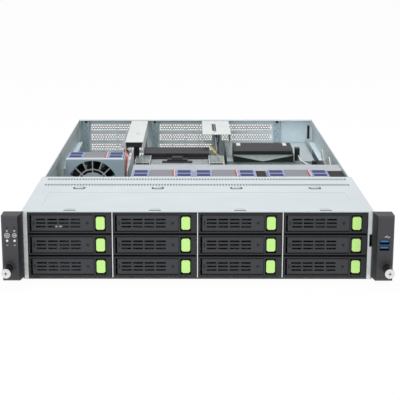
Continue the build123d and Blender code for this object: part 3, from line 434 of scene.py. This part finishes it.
dress("ears", [ear_plastic, zinc, dark_steel, socket_blue, ear_side_painted_shade], pick_ear)
dress("power_button", [grey_plastic])
supply_face, supply_frame_back = 718.2, 730.3
for side in ("left", "right"):
    screw_tip = drawing_box(f"thumbscrew_{side}")[0][1] + 0.7
    dress(f"thumbscrew_{side}", [black_screw, nickel], lambda x, y, z, n: int(y < screw_tip and n.y < 0.5))
    latch_left = drawing_box(f"power_supply_{side}")[0][0] + 45
    dress(f"power_supply_{side}", [zinc, chip_black_and_painted_shade, latch_plastic], lambda x, y, z, n: (
        0 if y < supply_face else 1 if y < supply_frame_back or x < latch_left else 2))
dress("circuit_boards", [board_mask, riser_mask, nickel, chip_black_and_painted_shade], lambda x, y, z, n: (
    2 if y > 700 and z < 22.5 and z > 9.7 else 1 if z > 17.7 and y > 590 else
    3 if z > 9.7 and y > 420 and z < 18.7 and (y > 590 or z > 18.5) else 0))
dress("heat_sink_and_memory", [aluminium, board_mask, chip_black_and_painted_shade], lambda x, y, z, n: (
    0 if abs(x + 27) < 47 else 1 if z > 17.7 else 2))

# %% Dress the fans
wall_top_z = drawing_box("fan_wall")[1][2]
row_front, row_back, filler_height = 215.9, 274.1, 24.1
dress("fan_wall", [rail_zinc, foam, zinc], lambda x, y, z, n: (
    1 if row_front < y < row_back and z > wall_top_z - filler_height and (87.1 < x < 101.5 or x > 192.9)
    else 2 if x < -102 else 0))
fan_offset, fan_drop, plate_sheet = 3.5, 42, 2
for number in columns:
    low, high = drawing_box(f"fan_module_{number}")
    centre_x = (low[0] + high[0]) / 2
    axis_x, axis_z = centre_x - fan_offset, high[2] - fan_drop
    frame_top = high[2] - plate_sheet

    def pick_fan(x, y, z, n):
        """Lip in painted highlight, finger loop or plate on top, spoke or hub in front, and the frame for the
        rest. Loop tops are painted paler as highlight and loop sides navy as shade.
        """
        if z > frame_top + 0.01:
            return 2 if y < low[1] + 6.2 else 4 if abs(x - centre_x) < 18.9 else 1 if n.z > 0.9 else 5
        radius = math.hypot(x - axis_x, z - axis_z)
        return 3 if radius < 39 and y < low[1] + 1.6 else 0

    dress(f"fan_module_{number}",
          [fan_plastic, loop_top_painted_highlight, lip_highlight_white, guard_steel, plate_plastic, loop_side_painted_shade], pick_fan)
    dress(f"fan_rotor_{number}", [rotor_plastic])

# %% Dress the air duct
def pick_duct(x, y, z, n):
    """Silver baffle in zinc painted lighter, black beams and plinth, milky lid, sawn edges painted white as
    glow, and clear walls and hoods.
    """
    if 536.9 < y < 537.9:
        return 3
    if 64 < x < 168.5 and y > 533 and z > 43.3 or y > 511.9 and z > 54.2:
        return 2
    if 401 < y < 555 and -75 < x < 21 and z > 52.8:
        return 4
    return 1 if n.z > 0.9 and x > 170 or abs(n.y) > 0.9 and n.y < 0 else 0


dress("air_duct", [clear_sheet, sawn_edge_painted_glow, beam_plastic, zinc_painted_lighter, clear_lid], pick_duct)

# %% [markdown]
# New pieces come from three shapes that Blender's mesh operators make: a cube pulled to two corners, a cone
# with equal ends laid between two points, and a flat disc. Each finished piece keeps its place in its mesh,
# rides on a CAD body and takes one material.

# %% Mesh helpers
def slab(bm, low, high, edge=0.0):
    """A cuboid between two corners in drawing millimetres, with its edges bevelled."""
    centre = (at(*low) + at(*high)) / 2
    size = at(*high) - at(*low)
    made = bmesh.ops.create_cube(bm, size=1.0,
                                 matrix=Matrix.Translation(centre) @ Matrix.Diagonal((*size, 1)))
    if edge:
        edges = {e for v in made["verts"] for e in v.link_edges}
        bmesh.ops.bevel(bm, geom=list(edges), offset=edge * MM, segments=2, profile=0.5, affect="EDGES",
                        material=-1)


def rod(bm, start, end, radius, sides=12, tip=None):
    """A round bar or, with another tip radius, a cone between two points in drawing millimetres."""
    a, b = at(*start), at(*end)
    turn = (b - a).to_track_quat("Z", "Y").to_matrix().to_4x4()
    bmesh.ops.create_cone(bm, cap_ends=True, segments=sides, radius1=radius * MM,
                          radius2=(radius if tip is None else tip) * MM, depth=(b - a).length,
                          matrix=Matrix.Translation((a + b) / 2) @ turn)


def disc(bm, centre, radius, sides=12, facing="Z", stretch=1.0):
    """A flat disc that faces up, or forward if facing is Y."""
    turn = Matrix.Rotation(math.radians(90), 4, "X") if facing == "Y" else Matrix.Identity(4)
    turn = turn @ Matrix.Diagonal((stretch, 1, 1, 1))
    bmesh.ops.create_circle(bm, cap_ends=True, segments=sides, radius=radius * MM,
                            matrix=Matrix.Translation(at(*centre)) @ turn)


made_pieces = []


def finish_piece(name, bm, material, body, smooth=False):
    """Turns a bmesh into an object that rides on a body."""
    bmesh.ops.recalc_face_normals(bm, faces=bm.faces)
    mesh = bpy.data.meshes.new(name)
    bm.to_mesh(mesh)
    bm.free()
    for face in mesh.polygons:
        face.use_smooth = smooth
    mesh.materials.append(material)
    obj = bpy.data.objects.new(name, mesh)
    bpy.context.scene.collection.objects.link(obj)
    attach(obj, body)
    made_pieces.append(name)
    return obj


# %% [markdown]
# Near its rear edge the cover has two bands of small oval vents. Seen from the camera each is a dark speck,
# so flat discs a hair above the sheet do as well as holes and keep the sheet's mesh simple.

# %% Cover vents
cover_high = drawing_box("front_cover")[1]
cover_top = cover_high[2] - 0.5
bm = bmesh.new()
vent_pitch = 4.0
vent_count = int(2 * (cover_high[0] - 8) / vent_pitch)
vent_rows = (154, 190)
vent_reach, vent_stretch = 6.6, 0.18
for y in vent_rows:
    for i in range(vent_count):
        x = (i - (vent_count - 1) / 2) * vent_pitch
        disc(bm, (x, y, cover_top + 0.04), vent_reach, 12, "Z", vent_stretch)
finish_piece("cover_vents", bm, cover_shade, "chassis")
print("cover vents:", len(vent_rows) * vent_count)

# %% [markdown]
# Four tongues are cut and lifted from the cover. The CAD has each as a low step. The cut shows as a dark line
# round the tongue, so thin bands follow it, and a short lock slot in front of each is a band of its own.

# %% Cut lines round the tongues
bm = bmesh.new()
bay_pitch = 106.6
cut_bands = ((-7.2, 7.2, 127.0, 130.2), (-8.3, -5.7, 130.2, 138.4), (5.7, 8.3, 130.2, 138.4),
             (-4.0, 6.0, 138.4, 140.0), (-7.5, 7.5, 3.6, 6.6))
for column in columns:
    x = (column - 2.5) * bay_pitch
    for x0, x1, y0, y1 in cut_bands:
        slab(bm, (x + x0, y0, cover_top + 0.02), (x + x1, y1, cover_top + 0.12))
finish_piece("cover_tongue_cuts", bm, hole_shade, "chassis")

# %% [markdown]
# Flat-headed rivets hold the folded side flanges and the tray slides. A cone with unequal ends gives the
# domed look at this size.

# %% Rivets on the sides
side_x = drawing_box("chassis_pan")[1][0]
bm = bmesh.new()
for side in (-1, 1):
    for y in (60, 150, 330, 520, 700):
        rod(bm, (side * (side_x - 0.3), y, 8), (side * (side_x - 0.05), y, 8), 2.6, 16, 1.8)
finish_piece("side_rivets", bm, nickel, "chassis")

# %% [markdown]
# The slot covers at the back are honeycomb sheet. A hexagon with a smaller one inset in it leaves a ring of
# six faces, and rings laid in offset rows join into the sheet. Solidify then gives it the steel's thickness.

# %% Honeycomb sheet
wall_sheet = 1.2
inner_face = drawing_box("rear_panel")[1][1] - wall_sheet


def honeycomb(bm, x0, x1, z0, z1, y, pitch, web):
    """Hexagonal rings that fill a rectangle."""
    radius = pitch / math.sqrt(3)
    rise = 1.5 * radius
    count_z = int((z1 - z0 - 2 * radius) / rise) + 1
    start_z = (z0 + z1) / 2 - (count_z - 1) * rise / 2
    for row in range(count_z):
        shift = pitch / 2 if row % 2 else 0
        count_x = int((x1 - x0 - shift) / pitch)
        for i in range(count_x):
            centre = at(x0 + shift + (i + 0.5) * pitch, y, start_z + row * rise)
            turn = Matrix.Rotation(math.radians(90), 4, "X") @ Matrix.Rotation(math.radians(30), 4, "Z")
            made = bmesh.ops.create_circle(bm, cap_ends=True, segments=6, radius=radius * MM,
                                           matrix=Matrix.Translation(centre) @ turn)
            face = made["verts"][0].link_faces[0]
            bmesh.ops.inset_individual(bm, faces=[face], thickness=web / 2 * MM)
            bmesh.ops.delete(bm, geom=[face], context="FACES_ONLY")


# %% Honeycomb slot covers
cell_pitch, cell_web = 4.7, 1.9
first_cover_top, cover_row_pitch = 80, 18.4
cover_side_edge, cover_top_edge, cover_bottom_edge = 2.4, 1.8, 15.6
bm = bmesh.new()
groups = ((-146, 104, 3), (-18, 104, 3), (96, 100, 2))
for centre_x, width, count in groups:
    half = width / 2 - cover_side_edge
    for row in range(count):
        top = first_cover_top - row * cover_row_pitch
        honeycomb(bm, centre_x - half, centre_x + half, top - cover_bottom_edge, top - cover_top_edge,
                  inner_face - 0.4, cell_pitch, cell_web)
bmesh.ops.remove_doubles(bm, verts=bm.verts, dist=0.00005)
bmesh.ops.solidify(bm, geom=bm.faces[:], thickness=0.6 * MM)
print("honeycomb faces:", len(bm.faces))
finish_piece("slot_cover_honeycomb", bm, mesh_zinc, "chassis")

# %% [markdown]
# Each post between the slots carries a knurled captive screw that clamps the covers, and small holes. On the
# right a blank plate closes the part of the wall over the power supplies.

# %% Post screws, post holes and blank plate
bm = bmesh.new()
screw_z = 83
for x in post_middles:
    rod(bm, (x, post_face - 0.05, screw_z), (x, 718.2, screw_z), 2.2, 16)
    rod(bm, (x, 718.2, screw_z), (x, 717.0, screw_z), 1.2, 12)
finish_piece("post_screws", bm, black_screw, "chassis")
bm = bmesh.new()
hole_pitch, top_hole = 5.5, 77
for x, bottom in zip(post_middles, (28, 28, 46, 46)):
    for i in range(int((top_hole - bottom) / hole_pitch)):
        disc(bm, (x + (1.8 if i % 2 else -1.8), post_face, top_hole - i * hole_pitch), 1.0, 10, "Y")
finish_piece("post_holes", bm, cover_shade, "chassis")
bm = bmesh.new()
slab(bm, (159, inner_face - 0.7, 44), (208, inner_face - 0.02, 84.9), 0.2)
finish_piece("blank_plate", bm, blue_zinc, "chassis")
bm = bmesh.new()
slab(bm, (209.4, inner_face - 0.5, 50), (213.6, inner_face - 0.02, 75))
finish_piece("blank_plate_slot", bm, hole_shade, "chassis")

# %% [markdown]
# Each lever carries a round window for its drive lamps, and a small oval thumb mark at the hinge end. Both
# are shallow wells with a dark floor, made as a disc on the face. A fine groove runs along each long edge.

# %% Lever windows
lamp_place, thumb_place, groove_width = 69.7, 2.6, 0.4
for tag in carriers:
    low, high = drawing_box(f"lever_{tag}")
    middle_z = (low[2] + high[2]) / 2
    bm = bmesh.new()
    disc(bm, (low[0] + lamp_place, low[1] - 0.05, middle_z), 1.9, 16, "Y")
    disc(bm, (low[0] + thumb_place, low[1] - 0.05, middle_z), 3.4, 16, "Y", 0.3)
    for z in (low[2] + 0.5, high[2] - 0.9):
        slab(bm, (low[0] + 1.0, low[1] - 0.06, z), (high[0] - 0.5, low[1] - 0.02, z + groove_width))
    finish_piece(f"lever_window_{tag}", bm, hole_shade, f"lever_{tag}")

# %% [markdown]
# The left ear has two columns of small marks: lamps and symbols over and under the two round buttons. They
# are pad-printed, so thin raised shapes in pale grey are enough. Only generic signs are used.

# %% Marks on the ears
def ring(bm, x, z, radius, width, y=ear_front - 0.05, sides=20):
    """A flat printed ring that faces forward."""
    turn = Matrix.Rotation(math.radians(90), 4, "X")
    made = bmesh.ops.create_circle(bm, cap_ends=True, segments=sides, radius=radius * MM,
                                   matrix=Matrix.Translation(at(x, y, z)) @ turn)
    face = made["verts"][0].link_faces[0]
    bmesh.ops.inset_individual(bm, faces=[face], thickness=width * MM)
    bmesh.ops.delete(bm, geom=[face], context="FACES_ONLY")


def mark(bm, x0, z0, x1, z1):
    """A flat printed bar that faces forward."""
    slab(bm, (x0, ear_front - 0.08, z0), (x1, ear_front - 0.01, z1))


bm = bmesh.new()
for x in (-234.2, -225.0):
    mark(bm, x - 1.1, 68.6, x + 1.1, 69.2)
    mark(bm, x - 0.7, 67.4, x + 0.7, 68.0)
    mark(bm, x - 1.2, 50.2, x + 1.2, 50.7)
ring(bm, -225.0, 62.8, 2.6, 0.6)
mark(bm, -226.2, 62.4, -223.8, 63.2)
ring(bm, -234.15, 62.8, 3.3, 0.5)
for x in (-234.2, -225.0):
    disc(bm, (x, ear_front - 0.06, 56.1), 1.5, 14, "Y")
finish_piece("left_ear_marks", bm, print_grey, "chassis")
bm = bmesh.new()
for x in (-234.2, -225.0):
    disc(bm, (x, ear_front - 0.06, 72.6), 1.2, 14, "Y")
finish_piece("left_ear_lamps", bm, hole_shade, "chassis")
bm = bmesh.new()
mark(bm, 230.6, 61.0, 236.6, 61.4)
for x, z in ((232.4, 62.2), (234.6, 60.2)):
    mark(bm, x - 0.5, z - 0.4, x + 0.5, z + 0.4)
disc(bm, (230.4, ear_front - 0.06, 61.2), 0.6, 10, "Y")
finish_piece("right_ear_mark", bm, print_grey, "chassis")

# %% [markdown]
# Looking down on a fan you see two blue loops for finger and thumb. Each has two dark pockets. The loops are
# CAD, and a pad of painted shade in each pocket stands for the depth that the open frame has on the real one.
# Between the right-hand loop and the plate a short pair of leads comes up from the motor.

# %% Painted shade in the fan loop pockets, and motor leads
loop_inset, pocket_half = 12.5, 9.6
for number in columns:
    low, high = drawing_box(f"fan_module_{number}")
    bm = bmesh.new()
    for centre in (low[0] + loop_inset, high[0] - loop_inset):
        for y in (low[1] + 18.5, low[1] + 42.8):
            slab(bm, (centre - pocket_half, y - 10.6, high[2] - 0.3),
                 (centre + pocket_half, y + 8.2, high[2] + 0.05), 0.2)
    finish_piece(f"fan_loop_pocket_shade_{number}", bm, loop_shade, f"fan_module_{number}")
    lead_x = (low[0] + high[0]) / 2 + 15.5
    for i, (material, shift) in enumerate(((wire_red, 0), (wire_white_and_painted_glow, 2.0))):
        bm = bmesh.new()
        x = lead_x + shift
        turns = ((x, low[1] + 8, high[2] + 0.3), (x + 0.7, low[1] + 22, high[2] + 0.5),
                 (x - 0.5, low[1] + 38, high[2] + 0.5), (x + 0.4, low[1] + 53, high[2] + 0.3))
        for start_place, end_place in zip(turns, turns[1:]):
            rod(bm, start_place, end_place, 0.8, 10)
        finish_piece(f"fan_motor_lead_{number}_{i}", bm, material, f"fan_module_{number}",
                     smooth=True)

# %% [markdown]
# A finger guard of black wire closes the back of each fan. Flat rings, each a circle with the inside cut out
# by an inset, get the wire's thickness from solidify. The rings lie close, so the guard also stands as
# painted shade seen through the rotor.

# %% Rear finger guards
wire_count, wire_pitch, wire_width = 11, 2.5, 1.7
for number in columns:
    low, high = drawing_box(f"fan_module_{number}")
    bm = bmesh.new()
    for i in range(wire_count):
        ring(bm, (low[0] + high[0]) / 2 - fan_offset, high[2] - fan_drop, 12 + i * wire_pitch, wire_width,
             high[1] - 2.2, 40)
    bmesh.ops.solidify(bm, geom=bm.faces[:], thickness=1.2 * MM)
    finish_piece(f"fan_rear_guard_and_shade_{number}", bm, rotor_plastic, f"fan_module_{number}")

# %% [markdown]
# A moulded beam bridges the clear lid and another stands over the power supplies. Two white nylon clips sit
# on the beam over the supplies. In front of the left beam the lid has a black foam strip and a stepped black
# block.

# %% Clips, strip and block on the duct
lid_top = 54.12
bm = bmesh.new()
for x0, x1 in ((70.5, 77.5), (151.0, 157.5)):
    slab(bm, (x0, 566, 65.9), (x1, 589, 67.2), 0.3)
finish_piece("beam_clips", bm, socket_white, "chassis")
bm = bmesh.new()
slab(bm, (-74.5, 506.0, lid_top), (20.4, 511.9, 57.0), 0.4)
slab(bm, (-56, 474, lid_top), (-6, 486, 56.0), 0.5)
slab(bm, (-48, 480, lid_top), (-14, 496, 58.6), 0.6)
slab(bm, (-40, 484, lid_top), (-22, 504, 61.0), 0.6)
finish_piece("lid_strip_and_lens", bm, beam_plastic, "chassis")
bm = bmesh.new()
for x in (-68, 12):
    disc(bm, (x, 440, 54.2), 2.0, 14)
    disc(bm, (x, 470, 54.2), 1.4, 14)
finish_piece("lid_holes", bm, hole_shade, "chassis")

# %% [markdown]
# The main board is crowded. Slabs with bevelled edges stand for chips and headers, upright rods for the
# capacitors, and a coin cell lies in its clip. They stand on the board's top face, as the real ones are
# soldered there.

# %% Chips and headers on the board
chips = (
    (-190, -160, 500, 530, 2.2), (-150, -128, 510, 532, 1.8), (-198, -186, 560, 585, 1.5),
    (-60, -35, 620, 645, 2.0), (0, 14, 640, 654, 1.6), (60, 74, 400, 414, 1.6),
    (120, 150, 420, 450, 2.4), (80, 92, 480, 500, 1.5), (-172, -160, 640, 652, 1.4),
)
bm = bmesh.new()
for x0, x1, y0, y1, rise in chips:
    slab(bm, (x0, y0, board_top), (x1, y1, board_top + rise), 0.3)
finish_piece("board_chips", bm, chip_black_and_painted_shade, "chassis")
headers = (
    (-200, -192, 600, 640, 8), (-206, -198, 470, 500, 9), (150, 190, 500, 508, 9),
    (60, 70, 340, 390, 10), (-60, -20, 690, 697, 8), (100, 130, 322, 330, 9),
)
bm = bmesh.new()
for x0, x1, y0, y1, rise in headers:
    slab(bm, (x0, y0, board_top), (x1, y1, board_top + rise), 0.4)
finish_piece("board_headers", bm, socket_white, "chassis")
capacitors = (
    (-140, 560), (-132, 560), (-124, 560), (-140, 572), (-132, 572), (60, 430), (60, 442), (60, 454),
    (140, 340), (150, 340), (160, 340), (-80, 640), (-80, 652), (0, 610), (10, 610), (20, 620),
)
bm = bmesh.new()
for x, y in capacitors:
    rod(bm, (x, y, board_top), (x, y, board_top + 8), 3.4, 16)
    rod(bm, (x, y, board_top + 8), (x, y, board_top + 8.3), 3.0, 16, 2.6)
finish_piece("board_capacitors", bm, nickel, "chassis")
bm = bmesh.new()
rod(bm, (-176, 610, board_top), (-176, 610, board_top + 3.2), 10, 28)
finish_piece("coin_cell", bm, nickel, "chassis")
bm = bmesh.new()
slab(bm, (-190, 604, board_top), (-162, 616, board_top + 2.4), 0.5)
finish_piece("coin_cell_clip", bm, chip_black_and_painted_shade, "chassis")

# %% [markdown]
# A chipset near the rear has its own small finned sink. A slab is cut into fins by placing thin slabs on a
# base, which is how such a sink is skived.

# %% Chipset sink, board screws, riser chips and painted shade under the riser front
bm = bmesh.new()
slab(bm, (-30, 650, board_top), (5, 685, board_top + 4), 0.3)
for i in range(9):
    x = -29 + i * 4
    slab(bm, (x, 651, board_top + 4), (x + 1.2, 684, board_top + 15))
finish_piece("chipset_sink", bm, aluminium, "chassis")
bm = bmesh.new()
for x, y in ((-190, 479), (-60, 479), (30, 479), (-60, 317), (30, 317), (-190, 700), (-60, 700), (30, 700)):
    rod(bm, (x, y, board_top), (x, y, board_top + 1.6), 3.2, 18, 2.6)
finish_piece("board_screws", bm, nickel, "chassis")
bm = bmesh.new()
for x in (-90.9, 39.1):
    for y, z in ((610, 40), (630, 52), (660, 44), (680, 60)):
        slab(bm, (x - 1.0, y, z), (x + 0.05, y + 10, z + 8), 0.2)
# The next two slabs are painted shade: black that fills the dark gap under the front of the left riser card.
slab(bm, (-116, 496, 76.5), (-90.5, 556, 85.2), 0.4)
slab(bm, (-106, 520, 40), (-97, 556, 76.5), 0.4)
finish_piece("riser_chips_and_painted_shade", bm, chip_black_and_painted_shade, "chassis")
bm = bmesh.new()
slab(bm, (-218.3, 470, 44.6), (-209.8, 715, 46.0), 0.3)
slab(bm, (208.5, 517, 49.5), (218.3, 685, 51.0), 0.3)
finish_piece("wall_strips", bm, blue_zinc, "chassis")

# %% [markdown]
# Nobody sees the rear in the portrait, but it is half of a server's life. The sockets get dark throats and
# bright tongues, the mains inlets get three flat blades, and each supply gets a green lamp.

# %% Throats and tongues of the rear sockets
bm = bmesh.new()
tongues = bmesh.new()
x = -193.5
for width in (16.0, 16.0, 13.2, 13.2, 31.0, 16.0):
    slab(bm, (x + 1.1, 726.75, 10.7), (x + width - 1.1, 726.9, 21.0))
    slab(tongues, (x + 3, 727.0, 12.2), (x + width - 3, 729.4, 13.4), 0.2)
    x += width + 9
finish_piece("rear_socket_throats", bm, hole_shade, "chassis")
finish_piece("rear_socket_tongues", tongues, contact_gold, "chassis")

# %% Mains inlets and supply lamps
for side in ("left", "right"):
    low, high = drawing_box(f"power_supply_{side}")
    body = f"power_supply_{side}"
    bm = bmesh.new()
    slab(bm, (low[0] + 8.1, 718.3, 11.9), (low[0] + 33.9, 718.8, 31.7))
    finish_piece(f"inlet_floor_{side}", bm, hole_shade, body)
    bm = bmesh.new()
    for dx, z in ((0, 25.0), (-6.5, 18.6), (6.5, 18.6)):
        slab(bm, (low[0] + 20 + dx - 1, 718.8, z - 2.2), (low[0] + 22 + dx, 727.0, z + 2.2), 0.3)
    finish_piece(f"inlet_blades_{side}", bm, nickel, body)
    bm = bmesh.new()
    rod(bm, (low[0] + 54, 730.2, 37.6), (low[0] + 54, 730.7, 37.6), 1.2, 14)
    finish_piece(f"supply_lamp_{side}", bm, green_plastic, body)

# %% [markdown]
# The loose wires inside are thin PVC leads. Each is a Bezier curve with a round bevel, turned into a mesh so
# that its place stays in its vertices.

# %% Wires
def wire(name, points, radius, material, body="chassis"):
    """A round wire along a smooth line through points in drawing millimetres."""
    curve = bpy.data.curves.new(name, "CURVE")
    curve.dimensions = "3D"
    curve.bevel_depth = radius * MM
    curve.bevel_resolution = 2
    curve.resolution_u = 8
    spline = curve.splines.new("BEZIER")
    spline.bezier_points.add(len(points) - 1)
    for point, place in zip(spline.bezier_points, points):
        point.co = at(*place)
        point.handle_left_type = point.handle_right_type = "AUTO"
    holder = bpy.data.objects.new(name + "_line", curve)
    mesh = bpy.data.meshes.new_from_object(holder)
    bpy.data.objects.remove(holder)
    bm = bmesh.new()
    bm.from_mesh(mesh)
    bpy.data.meshes.remove(mesh)
    return finish_piece(name, bm, material, body, smooth=True)


wire("riser_wire_purple", [(33, 702, 85), (33.5, 640, 84.6), (34, 575, 82), (36, 550, 60), (38, 530, 30),
                           (38, 500, 12)], 1.0, wire_purple)
for i, shift in enumerate((0, 2.4)):
    wire(f"riser_wire_yellow_{i}", [(27 + shift, 590, 63), (28 + shift, 566, 60), (46 + shift, 548, 40),
                                    (50 + shift, 530, 13)], 0.9, wire_yellow)
for i, (material, shift) in enumerate(((wire_orange, 0), (wire_red, 2.2), (wire_white_and_painted_glow, 4.2))):
    x = -112.6 + shift
    wire(f"fan_lead_{i}", [(x - 3, 388, 12), (x - 1, 396, 60), (x, 420, 74 - shift), (x - 2, 480, 70 - shift),
                           (x - 8, 540, 66 - shift), (x - 14, 600, 40), (x - 16, 640, 12)], 1.0, material)

# %% [markdown]
# Clear sheet shows mostly by its cut edges, which gather light and glow. Thin white beads of painted
# highlight follow the edges of the hoods and the bent guide, and two clear strap loops, drawn in the same
# painted white, hold the cable run on the right-hand wall.

# %% Painted edge glow and strap loops
for x in (-99.9, -75.7, 21.7, 45.9):
    edge_line = [(x, 451, 14), (x, 451, 40), (x, 451.2, 59.4), (x, 470, 59.6), (x, 510, 59.6)]
    wire(f"hood_edge_{x:.0f}", edge_line, 0.5, wire_white_and_painted_glow)
painted_glow_lines = {
    "guide_edge_glow": [(188, 440, 54), (176.6, 503, 54), (175.8, 540, 54)],
    "strap_loop_rear": [(218, 474, 46), (207, 468, 66), (207, 461, 79), (208, 454, 66), (218, 448, 46)],
    "strap_loop_front": [(218, 396, 50), (209, 390, 72), (208, 374, 83), (209, 358, 72), (218, 352, 50)],
}
for name, line in painted_glow_lines.items():
    wire(name, line, 0.8, wire_white_and_painted_glow)
bm = bmesh.new()
slab(bm, (170.5, 546, 43.6), (178.5, 560, 65.4), 0.5)
slab(bm, (192, 470, 9.6), (200, 478, 58), 0.5)
finish_piece("cable_holder", bm, beam_plastic, "chassis")

# %% [markdown]
# The camera shows what stands on the floor, and the floor itself is only there to catch the soft shadow that
# keeps the server from floating.

# %% Floor
bm = bmesh.new()
bmesh.ops.create_grid(bm, x_segments=1, y_segments=1, size=6)
mesh = bpy.data.meshes.new("floor")
bm.to_mesh(mesh)
bm.free()
floor = bpy.data.objects.new("floor", mesh)
bpy.context.scene.collection.objects.link(floor)
paper, tree, shader, place = new_finish("white_paper", "#FBFBFB", 0.9)
path = add(tree, "ShaderNodeLightPath")
fibre = add(tree, "ShaderNodeTexNoise", {"Vector": place, "Scale": per_mm(40)})
vary_colour(tree, shader, fibre.outputs[0], "#F9F9F9", "#FCFCFC")
glow = add(tree, "ShaderNodeEmission", {"Color": (1, 1, 1, 1), "Strength": 1.0})
blend = add(tree, "ShaderNodeMixShader", {0: 0.95, 1: shader.outputs[0], 2: glow.outputs[0]})
out = [n for n in tree.nodes if n.type == "OUTPUT_MATERIAL"][0]
tree.links.new(blend.outputs[0], out.inputs["Surface"])
mesh.materials.append(paper)
floor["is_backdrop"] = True

bpy.context.scene.view_settings.view_transform = "Standard"

low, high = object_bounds()
print("pieces:", len(made_pieces))
